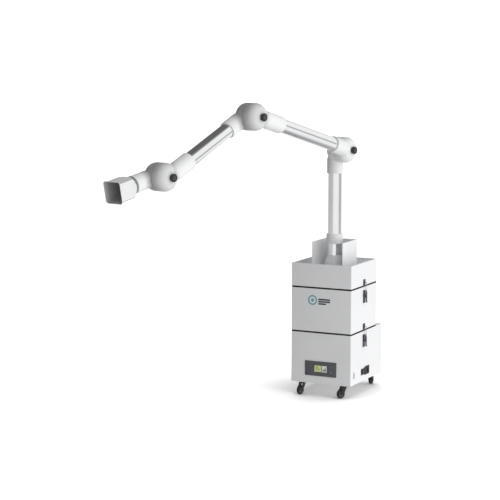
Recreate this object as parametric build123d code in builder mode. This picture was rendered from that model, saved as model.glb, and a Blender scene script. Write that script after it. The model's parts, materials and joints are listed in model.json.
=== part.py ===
from build123d import *
import os
from math import cos, radians, sin

os.makedirs("parts", exist_ok=True)

# Solder fume extractor: three stacked cabinet modules on castors, a duct mast and a friction arm.
# Frame: origin on the floor under the mast axis, +Z up, -Y towards the front, +X to the right.
# All sizes are millimetres and degrees.

# ------------------------------------------------------------------ cabinet sizes
cab_w = 350.0             # width of all three modules
cab_d = 350.0             # depth of the filter and top modules
bay_d = 85.0              # how far the base module runs on behind the others
ground_gap = 71.0         # floor to the underside, the castors' height
base_h = 274.0
filter_h = 233.0
top_h = 124.0
gasket_t = 8.0
gasket_w = 16.0
gasket_recess = 2.0
sheet = 2.0               # cabinet sheet thickness
corner_r = 5.0            # bend radius of the upright edges
lip_w = 10.0              # folded lip round the top rim
flange_w = 16.0           # folded flange where two modules meet
ledge_w = 26.0            # wider fold under the filters
tray_depth = 60.0         # rim to the tray floor
slip = 0.2                # gap between a fitted panel and the sheet round it

guard_w = 180.0           # three-sided guard round the foot of the mast
guard_d = 200.0
guard_h = 170.0
guard_foot = 12.0

# ------------------------------------------------------------------ duct and arm sizes
tube_r = 37.5             # outside radius of every duct tube
tube_wall = 1.5
socket_fit = 0.0          # tube glued in its cuff
swivel_fit = 0.05         # radial running clearance of the mast and hood swivels
collar_wall = 7.5
collar_h = 53.0
collar_z = 813.0
foot_wall = 14.5
foot_ledge = 23.0         # how far the foot's flange stands out for its screws
foot_h = 92.0
foot_screws = 6
foot_hole_r = 2.5
shoulder_z = 1320.0
boom_len = 790.0
forearm_len = 630.0
arm_yaw = -12.8           # the arm's plane, turned about the mast
boom_pitch = 15.0         # boom above the horizontal
forearm_pitch = -25.0
hood_pitch = -11.5

seam_gap = 1.2            # seam plane to each half of a joint
drum_r = 69.5
drum_rise = 28.0          # tube axis to the flat face of a half
drum_band = 26.0
drum_flat_r = 24.0
shell_wall = 4.0
cuff_wall = 6.5
cuff_seam = 1.0           # how far a cuff would reach past the seam plane before it is trimmed
cuff_edge = 2.0
socket_depth = 45.0
hub_r = 13.0
bolt_r = 5.0
bolt_fit = 0.05
mast_cuff = 128.0         # joint centre to the end of each cuff
boom_low_cuff = 150.0
boom_high_cuff = 180.0
forearm_high_cuff = 150.0
forearm_low_cuff = 165.0
hood_cuff = 155.0
knob_r = 20.0
knob_h = 18.0
knob_gap = 0.5
knob_clear = 2.5          # knob's rim to the rounded end of the cuff
knob_cap = 4.0            # thickness left over the bolt's end
knob_edge = 1.5
knob_lobes = 8
scallop_r = 4.5
bolt_head_r = 11.0
bolt_head_t = 6.0

hood_w = 100.0            # square body of the hood
hood_lip = 5.0            # flare of the mouth on each side
hood_lip_len = 12.0
hood_end = 290.0          # joint centre to the mouth
hood_back = 168.0
hood_wall = 3.0
hood_round = 28.0
hood_corner = 12.0
ring_wall = 3.5           # locking ring, outside the cuff
ring_gap = 1.0
spigot_gap = 2.0

# ------------------------------------------------------------------ levels and directions
base_z = ground_gap
low_gasket_z = base_z + base_h
filter_z = low_gasket_z + gasket_t
high_gasket_z = filter_z + filter_h
top_z = high_gasket_z + gasket_t
rim_z = top_z + top_h
tray_z = rim_z - tray_depth
base_d = cab_d + bay_d
base_y = bay_d / 2
front_y = -cab_d / 2
back_y = cab_d / 2 + bay_d
side_x = cab_w / 2

collar_r = tube_r + collar_wall
foot_r = tube_r + foot_wall
foot_flange_r = foot_r + foot_ledge
foot_screw_ring = foot_r + foot_ledge / 2
cuff_r = tube_r + cuff_wall
tube_offset = cuff_r - cuff_seam        # seam plane of a joint to each tube axis
drum_top = tube_offset + drum_rise      # seam plane to the flat face of a half

pivot = Vector(cos(radians(arm_yaw)), sin(radians(arm_yaw)), 0)
reach = Vector(sin(radians(arm_yaw)), -cos(radians(arm_yaw)), 0)
up = Vector(0, 0, 1)


def pitched(angle):
    """Direction in the arm's plane at an angle above the horizontal."""
    return reach * cos(radians(angle)) + up * sin(radians(angle))


boom_dir = pitched(boom_pitch)
forearm_dir = pitched(forearm_pitch)
hood_dir = pitched(hood_pitch)
shoulder = up * shoulder_z + pivot * tube_offset
elbow = shoulder + boom_dir * boom_len
wrist = elbow - pivot * (2 * tube_offset) + forearm_dir * forearm_len
boom_axis = shoulder + pivot * tube_offset
forearm_axis = elbow - pivot * tube_offset
hood_axis = wrist - pivot * tube_offset


def save(part, name):
    """Label a finished piece and write it as its own STEP file."""
    part.label = name
    export_step(part, f"parts/{name}.step")


def module_shell(width, depth, height, z, y):
    """Four walls of one cabinet module, open at both ends."""
    with BuildPart() as shell:
        with BuildSketch(Plane.XY.offset(z)):
            with Locations((0, y)):
                RectangleRounded(width, depth, corner_r)
                RectangleRounded(width - 2 * sheet, depth - 2 * sheet, corner_r - sheet, mode=Mode.SUBTRACT)
        extrude(amount=height)
    return shell.part


def folded_frame(width, depth, y, z, fold):
    """Inward fold of a module: a flat frame that lines the walls."""
    with BuildPart() as frame:
        with BuildSketch(Plane.XY.offset(z)):
            with Locations((0, y)):
                RectangleRounded(width - sheet, depth - sheet, corner_r - sheet / 2)
                Rectangle(width - 2 * fold, depth - 2 * fold, mode=Mode.SUBTRACT)
        extrude(amount=sheet)
    return frame.part


# ------------------------------------------------------------------ base module
panel_w = 184.0
panel_h = 80.0
panel_t = 4.0
panel_z = base_z + 81.0
panel_cut_w = 150.0
panel_cut_h = 56.0
outlet_w = 240.0          # exhaust opening in the back wall
outlet_h = 150.0
outlet_z = base_z + 160.0
inlet_y = 44.0            # mains inlet on the right wall
inlet_w = 64.0
inlet_h = 46.0
switch_y = -13.0
switch_w = 44.0
switch_h = 34.0
sockets_z = base_z + 52.0
port_y = -134.0           # remote-control socket near the front of the right wall
port_w = 13.0
port_h = 36.0
bezel_t = 3.0
cut_margin = 5.0          # how far each bezel overlaps its opening
port_margin = 2.5

with BuildPart() as base_housing:
    add(module_shell(cab_w, base_d, base_h, base_z, base_y))
    with BuildSketch(Plane.XY.offset(low_gasket_z - sheet)):
        with Locations((0, base_y)):
            RectangleRounded(cab_w - sheet, base_d - sheet, corner_r - sheet / 2)
        Rectangle(cab_w - 2 * flange_w, cab_d - 2 * flange_w, mode=Mode.SUBTRACT)
    extrude(amount=sheet)
    with BuildSketch(Plane.XZ.offset(-front_y)):
        with Locations((0, panel_z)):
            Rectangle(panel_cut_w, panel_cut_h)
    extrude(amount=-2 * sheet, mode=Mode.SUBTRACT)
    with BuildSketch(Plane.XZ.offset(-back_y)):
        with Locations((0, outlet_z)):
            Rectangle(outlet_w, outlet_h)
    extrude(amount=2 * sheet, mode=Mode.SUBTRACT)
    with BuildSketch(Plane.YZ.offset(side_x - 2 * sheet)):
        with Locations((inlet_y, sockets_z)):
            Rectangle(inlet_w - 2 * cut_margin, inlet_h - 2 * cut_margin)
        with Locations((switch_y, sockets_z)):
            Rectangle(switch_w - 2 * cut_margin, switch_h - 2 * cut_margin)
        with Locations((port_y, sockets_z)):
            Rectangle(port_w - 2 * port_margin, port_h - 2 * cut_margin)
    extrude(amount=2 * sheet, mode=Mode.SUBTRACT)
save(base_housing.part, "base_housing")

floor_t = 3.0
with BuildPart() as base_floor:
    with BuildSketch(Plane.XY.offset(base_z)):
        with Locations((0, base_y)):
            RectangleRounded(cab_w - 2 * sheet - 2 * slip, base_d - 2 * sheet - 2 * slip, corner_r - sheet)
    extrude(amount=floor_t)
save(base_floor.part, "base_floor")

grille_margin = 10.0
slot_h = 6.0
slot_pitch = 14.0
slot_count = 10
with BuildPart() as exhaust_grille:
    with BuildSketch(Plane.XZ.offset(-back_y)):
        with Locations((0, outlet_z)):
            RectangleRounded(outlet_w + 2 * grille_margin, outlet_h + 2 * grille_margin, corner_r)
            with GridLocations(0, slot_pitch, 1, slot_count):
                SlotOverall(outlet_w - 2 * grille_margin, slot_h, mode=Mode.SUBTRACT)
    extrude(amount=-sheet)
save(exhaust_grille.part, "exhaust_grille")

# ------------------------------------------------------------------ blower
blower_back = 20.0        # blower behind the middle of the base
blower_y = base_y + blower_back
blower_z = base_z + floor_t
scroll_r = 110.0
scroll_h = 90.0
scroll_wall = 3.0
wheel_r = 88.0
wheel_h = 70.0
motor_r = 55.0
motor_h = 80.0
shaft_r = 6.0
wheel_hub_r = 18.0
inlet_r = 70.0
wheel_gap = 8.0
motor_z = blower_z
scroll_z = motor_z + motor_h
wheel_z = scroll_z + scroll_wall + wheel_gap

with BuildPart() as blower_scroll:
    with BuildSketch(Plane.XY.offset(scroll_z)):
        with Locations((0, blower_y)):
            Circle(scroll_r)
        with Locations((scroll_r / 2, (blower_y + back_y) / 2)):
            Rectangle(scroll_r, back_y - blower_y - 2 * sheet)
    extrude(amount=scroll_h + 2 * scroll_wall)
    with BuildSketch(Plane.XY.offset(scroll_z + scroll_wall)):
        with Locations((0, blower_y)):
            Circle(scroll_r - scroll_wall)
        with Locations((scroll_r / 2, (blower_y + back_y) / 2)):
            Rectangle(scroll_r - 2 * scroll_wall, back_y - blower_y + 2 * sheet)
    extrude(amount=scroll_h, mode=Mode.SUBTRACT)
    with BuildSketch(Plane.XY.offset(scroll_z + scroll_wall)):
        with Locations((0, blower_y)):
            Circle(inlet_r)
    extrude(amount=scroll_h + 2 * scroll_wall, mode=Mode.SUBTRACT)
    with BuildSketch(Plane.XY.offset(scroll_z)):
        with Locations((0, blower_y)):
            Circle(shaft_r + wheel_gap)
    extrude(amount=scroll_wall, mode=Mode.SUBTRACT)
save(blower_scroll.part, "blower_scroll")

with BuildPart() as blower_motor:
    with BuildSketch(Plane.XY.offset(motor_z)):
        with Locations((0, blower_y)):
            Circle(motor_r)
    extrude(amount=motor_h)
    with BuildSketch(Plane.XY.offset(motor_z + motor_h)):
        with Locations((0, blower_y)):
            Circle(shaft_r)
    extrude(amount=scroll_wall + wheel_gap + wheel_h / 2)
save(blower_motor.part, "blower_motor")

blade_count = 12
blade_t = 2.0
blade_len = 26.0
hub_disc_t = 3.0
with BuildPart() as blower_wheel:
    with BuildSketch(Plane.XY.offset(wheel_z)):
        with Locations((0, blower_y)):
            Circle(wheel_r)
    extrude(amount=hub_disc_t)
    with BuildSketch(Plane.XY.offset(wheel_z + hub_disc_t)):
        with Locations((0, blower_y)):
            Circle(wheel_hub_r)
            with PolarLocations(wheel_r - blade_len / 2 - blade_t, blade_count):
                Rectangle(blade_len, blade_t)
    extrude(amount=wheel_h - hub_disc_t)
    with BuildSketch(Plane.XY.offset(wheel_z)):
        with Locations((0, blower_y)):
            Circle(shaft_r + bolt_fit)
    extrude(amount=wheel_h, mode=Mode.SUBTRACT)
save(blower_wheel.part, "blower_wheel")

# ------------------------------------------------------------------ gaskets, filter and top modules
for name, level in (("gasket_lower", low_gasket_z), ("gasket_upper", high_gasket_z)):
    with BuildPart() as gasket:
        with BuildSketch(Plane.XY.offset(level)):
            RectangleRounded(cab_w - 2 * gasket_recess, cab_d - 2 * gasket_recess, corner_r)
            Rectangle(cab_w - 2 * gasket_w, cab_d - 2 * gasket_w, mode=Mode.SUBTRACT)
        extrude(amount=gasket_t)
    save(gasket.part, name)

with BuildPart() as filter_housing:
    add(module_shell(cab_w, cab_d, filter_h, filter_z, 0))
    add(folded_frame(cab_w, cab_d, 0, filter_z, ledge_w))
    add(folded_frame(cab_w, cab_d, 0, high_gasket_z - sheet, flange_w))
save(filter_housing.part, "filter_housing")

cell_slip = 2.0                         # filters drop in through the top flange
cell_w = cab_w - 2 * (flange_w + cell_slip)
cell_d = cab_d - 2 * (flange_w + cell_slip)
cell_frame = 12.0
carbon_h = 110.0
particle_h = 100.0
carbon_z = filter_z + sheet
with BuildPart() as carbon_filter:
    with BuildSketch(Plane.XY.offset(carbon_z)):
        Rectangle(cell_w, cell_d)
    extrude(amount=carbon_h)
save(carbon_filter.part, "carbon_filter")

pleat_count = 14
pleat_gap = 4.0
particle_z = carbon_z + carbon_h
with BuildPart() as particle_filter:
    with BuildSketch(Plane.XY.offset(particle_z)):
        Rectangle(cell_w, cell_d)
    extrude(amount=particle_h)
    with BuildSketch(Plane.XY.offset(particle_z + cell_frame)):
        with GridLocations((cell_w - 2 * cell_frame) / pleat_count, 0, pleat_count, 1):
            Rectangle(pleat_gap, cell_d - 2 * cell_frame)
    extrude(amount=particle_h, mode=Mode.SUBTRACT)
save(particle_filter.part, "particle_filter")

tray_t = 2.0
with BuildPart() as top_housing:
    add(module_shell(cab_w, cab_d, top_h, top_z, 0))
    add(folded_frame(cab_w, cab_d, 0, top_z, flange_w))
    add(folded_frame(cab_w, cab_d, 0, rim_z - sheet, lip_w))
save(top_housing.part, "top_housing")

with BuildPart() as tray_floor:
    with BuildSketch(Plane.XY.offset(tray_z - tray_t)):
        RectangleRounded(cab_w - 2 * sheet, cab_d - 2 * sheet, corner_r - sheet)
        Circle(tube_r - tube_wall, mode=Mode.SUBTRACT)
    extrude(amount=tray_t)
save(tray_floor.part, "tray_floor")

with BuildPart() as mast_guard:
    with BuildSketch(Plane.XY.offset(tray_z)):
        Rectangle(guard_w, guard_d)
        with Locations((0, -sheet)):
            Rectangle(guard_w - 2 * sheet, guard_d, mode=Mode.SUBTRACT)
    extrude(amount=guard_h)
    with BuildSketch(Plane.XY.offset(tray_z)):
        with Locations((0, guard_foot / 2)):
            Rectangle(guard_w + 2 * guard_foot, guard_d + guard_foot)
        with Locations((0, -sheet)):
            Rectangle(guard_w - 2 * sheet, guard_d, mode=Mode.SUBTRACT)
        with Locations((0, -guard_d / 2)):
            Rectangle(guard_w - 2 * sheet, 4 * sheet, mode=Mode.SUBTRACT)
    extrude(amount=sheet)
save(mast_guard.part, "mast_guard")

# ------------------------------------------------------------------ mast foot, collar and tubes
foot_flange_t = 5.0
foot_lip = 3.0            # wall of the foot at its top
with BuildPart() as mast_foot:
    with BuildSketch(Plane.XZ):
        with BuildLine():
            foot_edge = Polyline(
                (tube_r, tray_z),
                (foot_flange_r, tray_z),
                (foot_flange_r, tray_z + foot_flange_t),
                (foot_r, tray_z + foot_flange_t),
                (foot_r, tray_z + foot_h / 2),
            )
            foot_curve = Spline(
                foot_edge @ 1,
                (tube_r + foot_lip, tray_z + foot_h),
                tangents=((0, 1), (0, 1)),
            )
            Polyline(foot_curve @ 1, (tube_r, tray_z + foot_h), (tube_r, tray_z))
        make_face()
    revolve(axis=Axis.Z)
    with BuildSketch(Plane.XY.offset(tray_z)):
        with PolarLocations(foot_screw_ring, foot_screws):
            Circle(foot_hole_r)
    extrude(amount=foot_flange_t, mode=Mode.SUBTRACT)
save(mast_foot.part, "mast_foot")

collar_grip = 28.0                      # how much of the collar holds the fixed tube
collar_edge = 2.5
break_gap = 0.5
tube_break = collar_z + collar_grip     # fixed tube below, turning tube above
with BuildPart() as mast_lower_tube:
    with BuildSketch(Plane.XY.offset(tray_z)):
        Circle(tube_r)
        Circle(tube_r - tube_wall, mode=Mode.SUBTRACT)
    extrude(amount=tube_break - tray_z)
save(mast_lower_tube.part, "mast_lower_tube")

with BuildPart() as mast_collar:
    with BuildSketch(Plane.XY.offset(collar_z)):
        Circle(collar_r)
    extrude(amount=collar_h)
    fillet(mast_collar.edges().filter_by(GeomType.CIRCLE), radius=collar_edge)
    with BuildSketch(Plane.XY.offset(collar_z)):
        Circle(tube_r)
    extrude(amount=tube_break - collar_z, mode=Mode.SUBTRACT)
    with BuildSketch(Plane.XY.offset(tube_break)):
        Circle(tube_r + swivel_fit)
    extrude(amount=collar_z + collar_h - tube_break, mode=Mode.SUBTRACT)
save(mast_collar.part, "mast_collar")


def duct_tube(start, direction, length, name):
    """Straight thin-walled duct from a point along a direction."""
    with BuildPart() as tube:
        with BuildSketch(Plane(origin=start, z_dir=direction)):
            Circle(tube_r)
            Circle(tube_r - tube_wall, mode=Mode.SUBTRACT)
        extrude(amount=length)
    save(tube.part, name)


mast_top = shoulder_z - mast_cuff + socket_depth
duct_tube(up * (tube_break + break_gap), up, mast_top - tube_break - break_gap, "mast_tube")
duct_tube(
    boom_axis + boom_dir * (boom_low_cuff - socket_depth),
    boom_dir,
    boom_len - boom_low_cuff - boom_high_cuff + 2 * socket_depth,
    "boom_tube",
)
duct_tube(
    forearm_axis + forearm_dir * (forearm_high_cuff - socket_depth),
    forearm_dir,
    forearm_len - forearm_high_cuff - forearm_low_cuff + 2 * socket_depth,
    "forearm_tube",
)


# ------------------------------------------------------------------ arm joints
trim_margin = 5.0         # past the drum's edge, where its cuff is trimmed back to the seam
duct_start = 10.0         # past the hub, where the duct through a half begins


def joint_half(centre, outward, toward, cuff_len, fit, shaft_fit, name):
    """Half of an arm joint: a domed drum open on the seam, with a cuff that holds its tube."""
    section = Plane(origin=centre, x_dir=toward, z_dir=toward.cross(outward))
    cuff_centre = centre + outward * tube_offset
    cuff_section = Plane(origin=cuff_centre, x_dir=toward, z_dir=toward.cross(outward))
    bore_r = tube_r - tube_wall
    dome_x = knob_r + knob_clear + (cuff_r**2 - (drum_top - tube_offset) ** 2) ** 0.5
    with BuildPart() as half:
        with BuildSketch(section):
            with BuildLine():
                Polyline(
                    (drum_flat_r, drum_top),
                    (0, drum_top),
                    (0, seam_gap),
                    (drum_r, seam_gap),
                    (drum_r, drum_band),
                )
                EllipticalCenterArc(
                    (drum_flat_r, drum_band),
                    drum_r - drum_flat_r,
                    drum_top - drum_band,
                    start_angle=0,
                    arc_size=90,
                )
            make_face()
        revolve(axis=Axis(centre, outward))
        with BuildSketch(cuff_section):
            with BuildLine():
                CenterArc((dome_x, 0), cuff_r, 90, 90)
                Polyline(
                    (dome_x, cuff_r),
                    (cuff_len - cuff_edge, cuff_r),
                    (cuff_len, cuff_r - cuff_edge),
                    (cuff_len, 0),
                    (dome_x - cuff_r, 0),
                )
            make_face()
        revolve(axis=Axis(cuff_centre, toward))
        with BuildSketch(Plane(origin=centre - outward * cuff_r, z_dir=outward)):
            Circle(drum_r + trim_margin)
        extrude(amount=cuff_r + seam_gap, mode=Mode.SUBTRACT)
        with BuildSketch(section):
            with BuildLine():
                Polyline(
                    (drum_flat_r, drum_top - shell_wall),
                    (hub_r, drum_top - shell_wall),
                    (hub_r, seam_gap),
                    (drum_r - shell_wall, seam_gap),
                    (drum_r - shell_wall, drum_band),
                )
                EllipticalCenterArc(
                    (drum_flat_r, drum_band),
                    drum_r - shell_wall - drum_flat_r,
                    drum_top - shell_wall - drum_band,
                    start_angle=0,
                    arc_size=90,
                )
            make_face()
        revolve(axis=Axis(centre, outward), mode=Mode.SUBTRACT)
        with BuildSketch(Plane(origin=cuff_centre + toward * (hub_r + duct_start), z_dir=toward)):
            Circle(bore_r)
        extrude(amount=cuff_len, mode=Mode.SUBTRACT)
        with BuildSketch(Plane(origin=cuff_centre + toward * (cuff_len - socket_depth), z_dir=toward)):
            Circle(tube_r + fit)
        extrude(amount=2 * socket_depth, mode=Mode.SUBTRACT)
        with BuildSketch(Plane(origin=centre, z_dir=outward)):
            Circle(bolt_r + shaft_fit)
        extrude(amount=2 * drum_top, mode=Mode.SUBTRACT)
    save(half.part, name)


def joint_bolt(centre, name):
    """Clamp bolt through both halves, its head on the far side from the knob."""
    with BuildPart() as bolt:
        with BuildSketch(Plane(origin=centre - pivot * (drum_top + bolt_head_t), z_dir=pivot)):
            RegularPolygon(bolt_head_r, 6)
        extrude(amount=bolt_head_t)
        with BuildSketch(Plane(origin=centre - pivot * drum_top, z_dir=pivot)):
            Circle(bolt_r)
        extrude(amount=2 * drum_top + knob_gap + knob_h - knob_cap - knob_gap * 2)
    save(bolt.part, name)


def joint_knob(centre, name):
    """Lobed friction knob on the clamp bolt."""
    with BuildPart() as knob:
        with BuildSketch(Plane(origin=centre + pivot * (drum_top + knob_gap), z_dir=pivot)):
            Circle(knob_r)
        extrude(amount=knob_h)
        chamfer(knob.edges().filter_by(GeomType.CIRCLE), length=knob_edge)
        with BuildSketch(Plane(origin=centre + pivot * (drum_top + knob_gap), z_dir=pivot)):
            with PolarLocations(knob_r + scallop_r / 2, knob_lobes):
                Circle(scallop_r)
        extrude(amount=knob_h, mode=Mode.SUBTRACT)
        with BuildSketch(Plane(origin=centre + pivot * (drum_top + knob_gap), z_dir=pivot)):
            Circle(bolt_r + bolt_fit)
        extrude(amount=knob_h - knob_cap, mode=Mode.SUBTRACT)
    save(knob.part, name)


down = up * -1
inward = pivot * -1
glued = socket_fit
joint_half(shoulder, inward, down, mast_cuff, glued, 0, "shoulder_inner")
joint_half(shoulder, pivot, boom_dir, boom_low_cuff, glued, bolt_fit, "shoulder_outer")
joint_half(elbow, pivot, boom_dir * -1, boom_high_cuff, glued, bolt_fit, "elbow_outer")
joint_half(elbow, inward, forearm_dir, forearm_high_cuff, glued, 0, "elbow_inner")
joint_half(wrist, pivot, forearm_dir * -1, forearm_low_cuff, glued, bolt_fit, "wrist_outer")
joint_half(wrist, inward, hood_dir, hood_cuff, swivel_fit, 0, "wrist_inner")
for joint_name, centre in (("shoulder", shoulder), ("elbow", elbow), ("wrist", wrist)):
    joint_bolt(centre, f"{joint_name}_bolt")
    joint_knob(centre, f"{joint_name}_knob")

# ------------------------------------------------------------------ hood
spigot_reach = 14.0       # how far the spigot runs into the hood
mesh_back = 16.0          # spigot's end to the wire mesh
mesh_t = 1.5
mesh_slots = 9
mesh_pitch = 9.0
mesh_slot_h = 5.5
mesh_border = 9.0
spigot_start = hood_cuff - socket_depth + spigot_gap
spigot_end = hood_back + spigot_reach
ring_r = cuff_r + ring_wall
ring_start = hood_cuff + ring_gap
with BuildPart() as hood_spigot:
    with BuildSketch(Plane(origin=hood_axis + hood_dir * spigot_start, z_dir=hood_dir)):
        Circle(tube_r)
    extrude(amount=spigot_end - spigot_start)
    with BuildSketch(Plane(origin=hood_axis + hood_dir * ring_start, z_dir=hood_dir)):
        Circle(ring_r)
    extrude(amount=hood_back - ring_start)
    with BuildSketch(Plane(origin=hood_axis, z_dir=hood_dir)):
        Circle(tube_r - tube_wall)
    extrude(amount=hood_end, mode=Mode.SUBTRACT)
save(hood_spigot.part, "hood_spigot")


def hood_plane(distance):
    """Cross-section of the hood at a distance from the wrist, its width along the pivot."""
    return Plane(origin=hood_axis + hood_dir * distance, x_dir=pivot, z_dir=hood_dir)


lip_start = hood_end - hood_lip_len
bore_w = hood_w - 2 * hood_wall
mouth_w = hood_w + 2 * hood_lip
with BuildPart() as hood:
    with BuildSketch(hood_plane(hood_back)):
        RectangleRounded(hood_w, hood_w, hood_corner)
    extrude(amount=lip_start - hood_back)
    fillet(hood.faces().sort_by(Axis(hood_axis, hood_dir))[0].edges(), radius=hood_round)
    with BuildSketch(hood_plane(lip_start)):
        RectangleRounded(hood_w, hood_w, hood_corner)
    with BuildSketch(hood_plane(hood_end)):
        RectangleRounded(mouth_w, mouth_w, hood_corner + hood_wall)
    loft()
    with BuildPart(mode=Mode.PRIVATE) as hollow:
        with BuildSketch(hood_plane(hood_back + hood_wall)):
            RectangleRounded(bore_w, bore_w, hood_corner - hood_wall)
        extrude(amount=lip_start - hood_back - hood_wall)
        fillet(hollow.faces().sort_by(Axis(hood_axis, hood_dir))[0].edges(), radius=hood_round - hood_wall)
        with BuildSketch(hood_plane(lip_start)):
            RectangleRounded(bore_w, bore_w, hood_corner - hood_wall)
        with BuildSketch(hood_plane(hood_end)):
            RectangleRounded(mouth_w - 2 * hood_wall, mouth_w - 2 * hood_wall, hood_corner)
        loft()
    add(hollow.part, mode=Mode.SUBTRACT)
    with BuildSketch(hood_plane(hood_back)):
        Circle(tube_r)
    extrude(amount=hood_round, mode=Mode.SUBTRACT)
save(hood.part, "hood")

with BuildPart() as hood_mesh:
    with BuildSketch(hood_plane(spigot_end + mesh_back)):
        RectangleRounded(bore_w, bore_w, hood_corner - hood_wall)
        with GridLocations(0, mesh_pitch, 1, mesh_slots):
            SlotOverall(bore_w - 2 * mesh_border, mesh_slot_h, mode=Mode.SUBTRACT)
    extrude(amount=mesh_t)
save(hood_mesh.part, "hood_mesh")

# ------------------------------------------------------------------ control panel
screen_w = 74.0
screen_h = 38.0
screen_sink = 2.0
screen_t = 1.5
screen_corner = 2.0
panel_corner = 4.0
panel_plug = 12.0         # how far the panel's box runs in behind the front wall
button_sink = 4.0
button_edge = 0.8
button_r = 6.0
button_x = 62.0
button_dz = 14.0
button_gap = 0.3
button_travel = 1.5
with BuildPart() as control_panel:
    with BuildSketch(Plane.XZ.offset(-front_y)):
        with Locations((0, panel_z)):
            RectangleRounded(panel_w, panel_h, panel_corner)
    extrude(amount=panel_t)
    with BuildSketch(Plane.XZ.offset(-front_y)):
        with Locations((0, panel_z)):
            Rectangle(panel_cut_w - 2 * slip, panel_cut_h - 2 * slip)
    extrude(amount=-panel_plug)
    with BuildSketch(Plane.XZ.offset(-front_y + panel_t - screen_sink)):
        with Locations((0, panel_z)):
            RectangleRounded(screen_w, screen_h, screen_corner)
    extrude(amount=screen_sink, mode=Mode.SUBTRACT)
    with BuildSketch(Plane.XZ.offset(-front_y - button_sink)):
        with Locations((button_x, panel_z - button_dz), (button_x, panel_z + button_dz)):
            Circle(button_r + button_gap)
    extrude(amount=panel_t + button_sink, mode=Mode.SUBTRACT)
save(control_panel.part, "control_panel")

with BuildPart() as display_window:
    with BuildSketch(Plane.XZ.offset(-front_y + panel_t - screen_sink)):
        with Locations((0, panel_z)):
            RectangleRounded(screen_w, screen_h, screen_corner)
    extrude(amount=screen_t)
save(display_window.part, "display_window")

for number, dz in ((1, button_dz), (2, -button_dz)):
    with BuildPart() as panel_button:
        with BuildSketch(Plane.XZ.offset(-front_y - button_sink + button_travel + button_gap)):
            with Locations((button_x, panel_z + dz)):
                Circle(button_r)
        extrude(amount=panel_t + button_sink - button_gap)
        fillet(panel_button.faces().sort_by(Axis.Y)[0].edges(), radius=button_edge)
    save(panel_button.part, f"panel_button_{number}")

# ------------------------------------------------------------------ mains inlet, switch and remote port
rocker_w = 26.0
rocker_h = 16.0
rocker_gap = 0.5
rocker_pin_r = 1.5
rocker_pin_len = 2.5
rocker_sink = 5.0
rocker_x = side_x - rocker_sink
bezel_corner = 3.0
socket_body = 22.0        # how far the sockets run in behind the side wall
inlet_deep = 16.0
inlet_bore_w = 36.0
inlet_bore_h = 24.0
pin_pitch = 10.0
pin_w = 2.0
pin_h = 6.0
port_bore_w = 5.0
port_bore_h = 18.0
switch_deep = 12.0
with BuildPart() as mains_sockets:
    with BuildSketch(Plane.YZ.offset(side_x)):
        with Locations((inlet_y, sockets_z)):
            RectangleRounded(inlet_w, inlet_h, bezel_corner)
        with Locations((switch_y, sockets_z)):
            RectangleRounded(switch_w, switch_h, bezel_corner)
        with Locations((port_y, sockets_z)):
            RectangleRounded(port_w, port_h, bezel_corner - 1)
    extrude(amount=bezel_t)
    with BuildSketch(Plane.YZ.offset(side_x)):
        with Locations((inlet_y, sockets_z)):
            Rectangle(inlet_w - 2 * cut_margin - 2 * slip, inlet_h - 2 * cut_margin - 2 * slip)
        with Locations((switch_y, sockets_z)):
            Rectangle(switch_w - 2 * cut_margin - 2 * slip, switch_h - 2 * cut_margin - 2 * slip)
        with Locations((port_y, sockets_z)):
            Rectangle(port_w - 2 * port_margin - 2 * slip, port_h - 2 * cut_margin - 2 * slip)
    extrude(amount=-socket_body)
    with BuildSketch(Plane.YZ.offset(side_x - inlet_deep)):
        with Locations((inlet_y, sockets_z)):
            Rectangle(inlet_bore_w, inlet_bore_h)
            with GridLocations(pin_pitch, 0, 3, 1):
                Rectangle(pin_w, pin_h, mode=Mode.SUBTRACT)
        with Locations((port_y, sockets_z)):
            Rectangle(port_bore_w, port_bore_h)
    extrude(amount=inlet_deep + bezel_t, mode=Mode.SUBTRACT)
    with BuildSketch(Plane.YZ.offset(side_x - switch_deep)):
        with Locations((switch_y, sockets_z)):
            Rectangle(rocker_w + 2 * rocker_gap, rocker_h + 2 * rocker_gap)
    extrude(amount=switch_deep + bezel_t, mode=Mode.SUBTRACT)
    with BuildSketch(Plane.XY.offset(sockets_z)):
        with Locations((rocker_x, switch_y)):
            Circle(rocker_pin_r + bolt_fit)
    extrude(amount=rocker_h / 2 + rocker_pin_len + rocker_gap, both=True, mode=Mode.SUBTRACT)
save(mains_sockets.part, "mains_sockets")

rocker_tip = rocker_w / 2 - 2.0         # half the key's width at its face
rocker_root = 7.0
rocker_rim = 8.0
rocker_dish = 9.0
rocker_face = 11.0
rocker_back = 3.0
with BuildPart() as mains_rocker:
    with BuildSketch(Plane.XY.offset(sockets_z - rocker_h / 2)):
        with BuildLine():
            Polyline(
                (rocker_x - rocker_back, switch_y - rocker_root),
                (rocker_x + rocker_rim, switch_y - rocker_tip),
                (rocker_x + rocker_face, switch_y - rocker_tip),
                (rocker_x + rocker_dish, switch_y),
                (rocker_x + rocker_face, switch_y + rocker_tip),
                (rocker_x + rocker_rim, switch_y + rocker_tip),
                (rocker_x - rocker_back, switch_y + rocker_root),
                close=True,
            )
        make_face()
    extrude(amount=rocker_h)
    with BuildSketch(Plane.XY.offset(sockets_z)):
        with Locations((rocker_x, switch_y)):
            Circle(rocker_pin_r)
    extrude(amount=rocker_h / 2 + rocker_pin_len, both=True)
save(mains_rocker.part, "mains_rocker")

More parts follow.
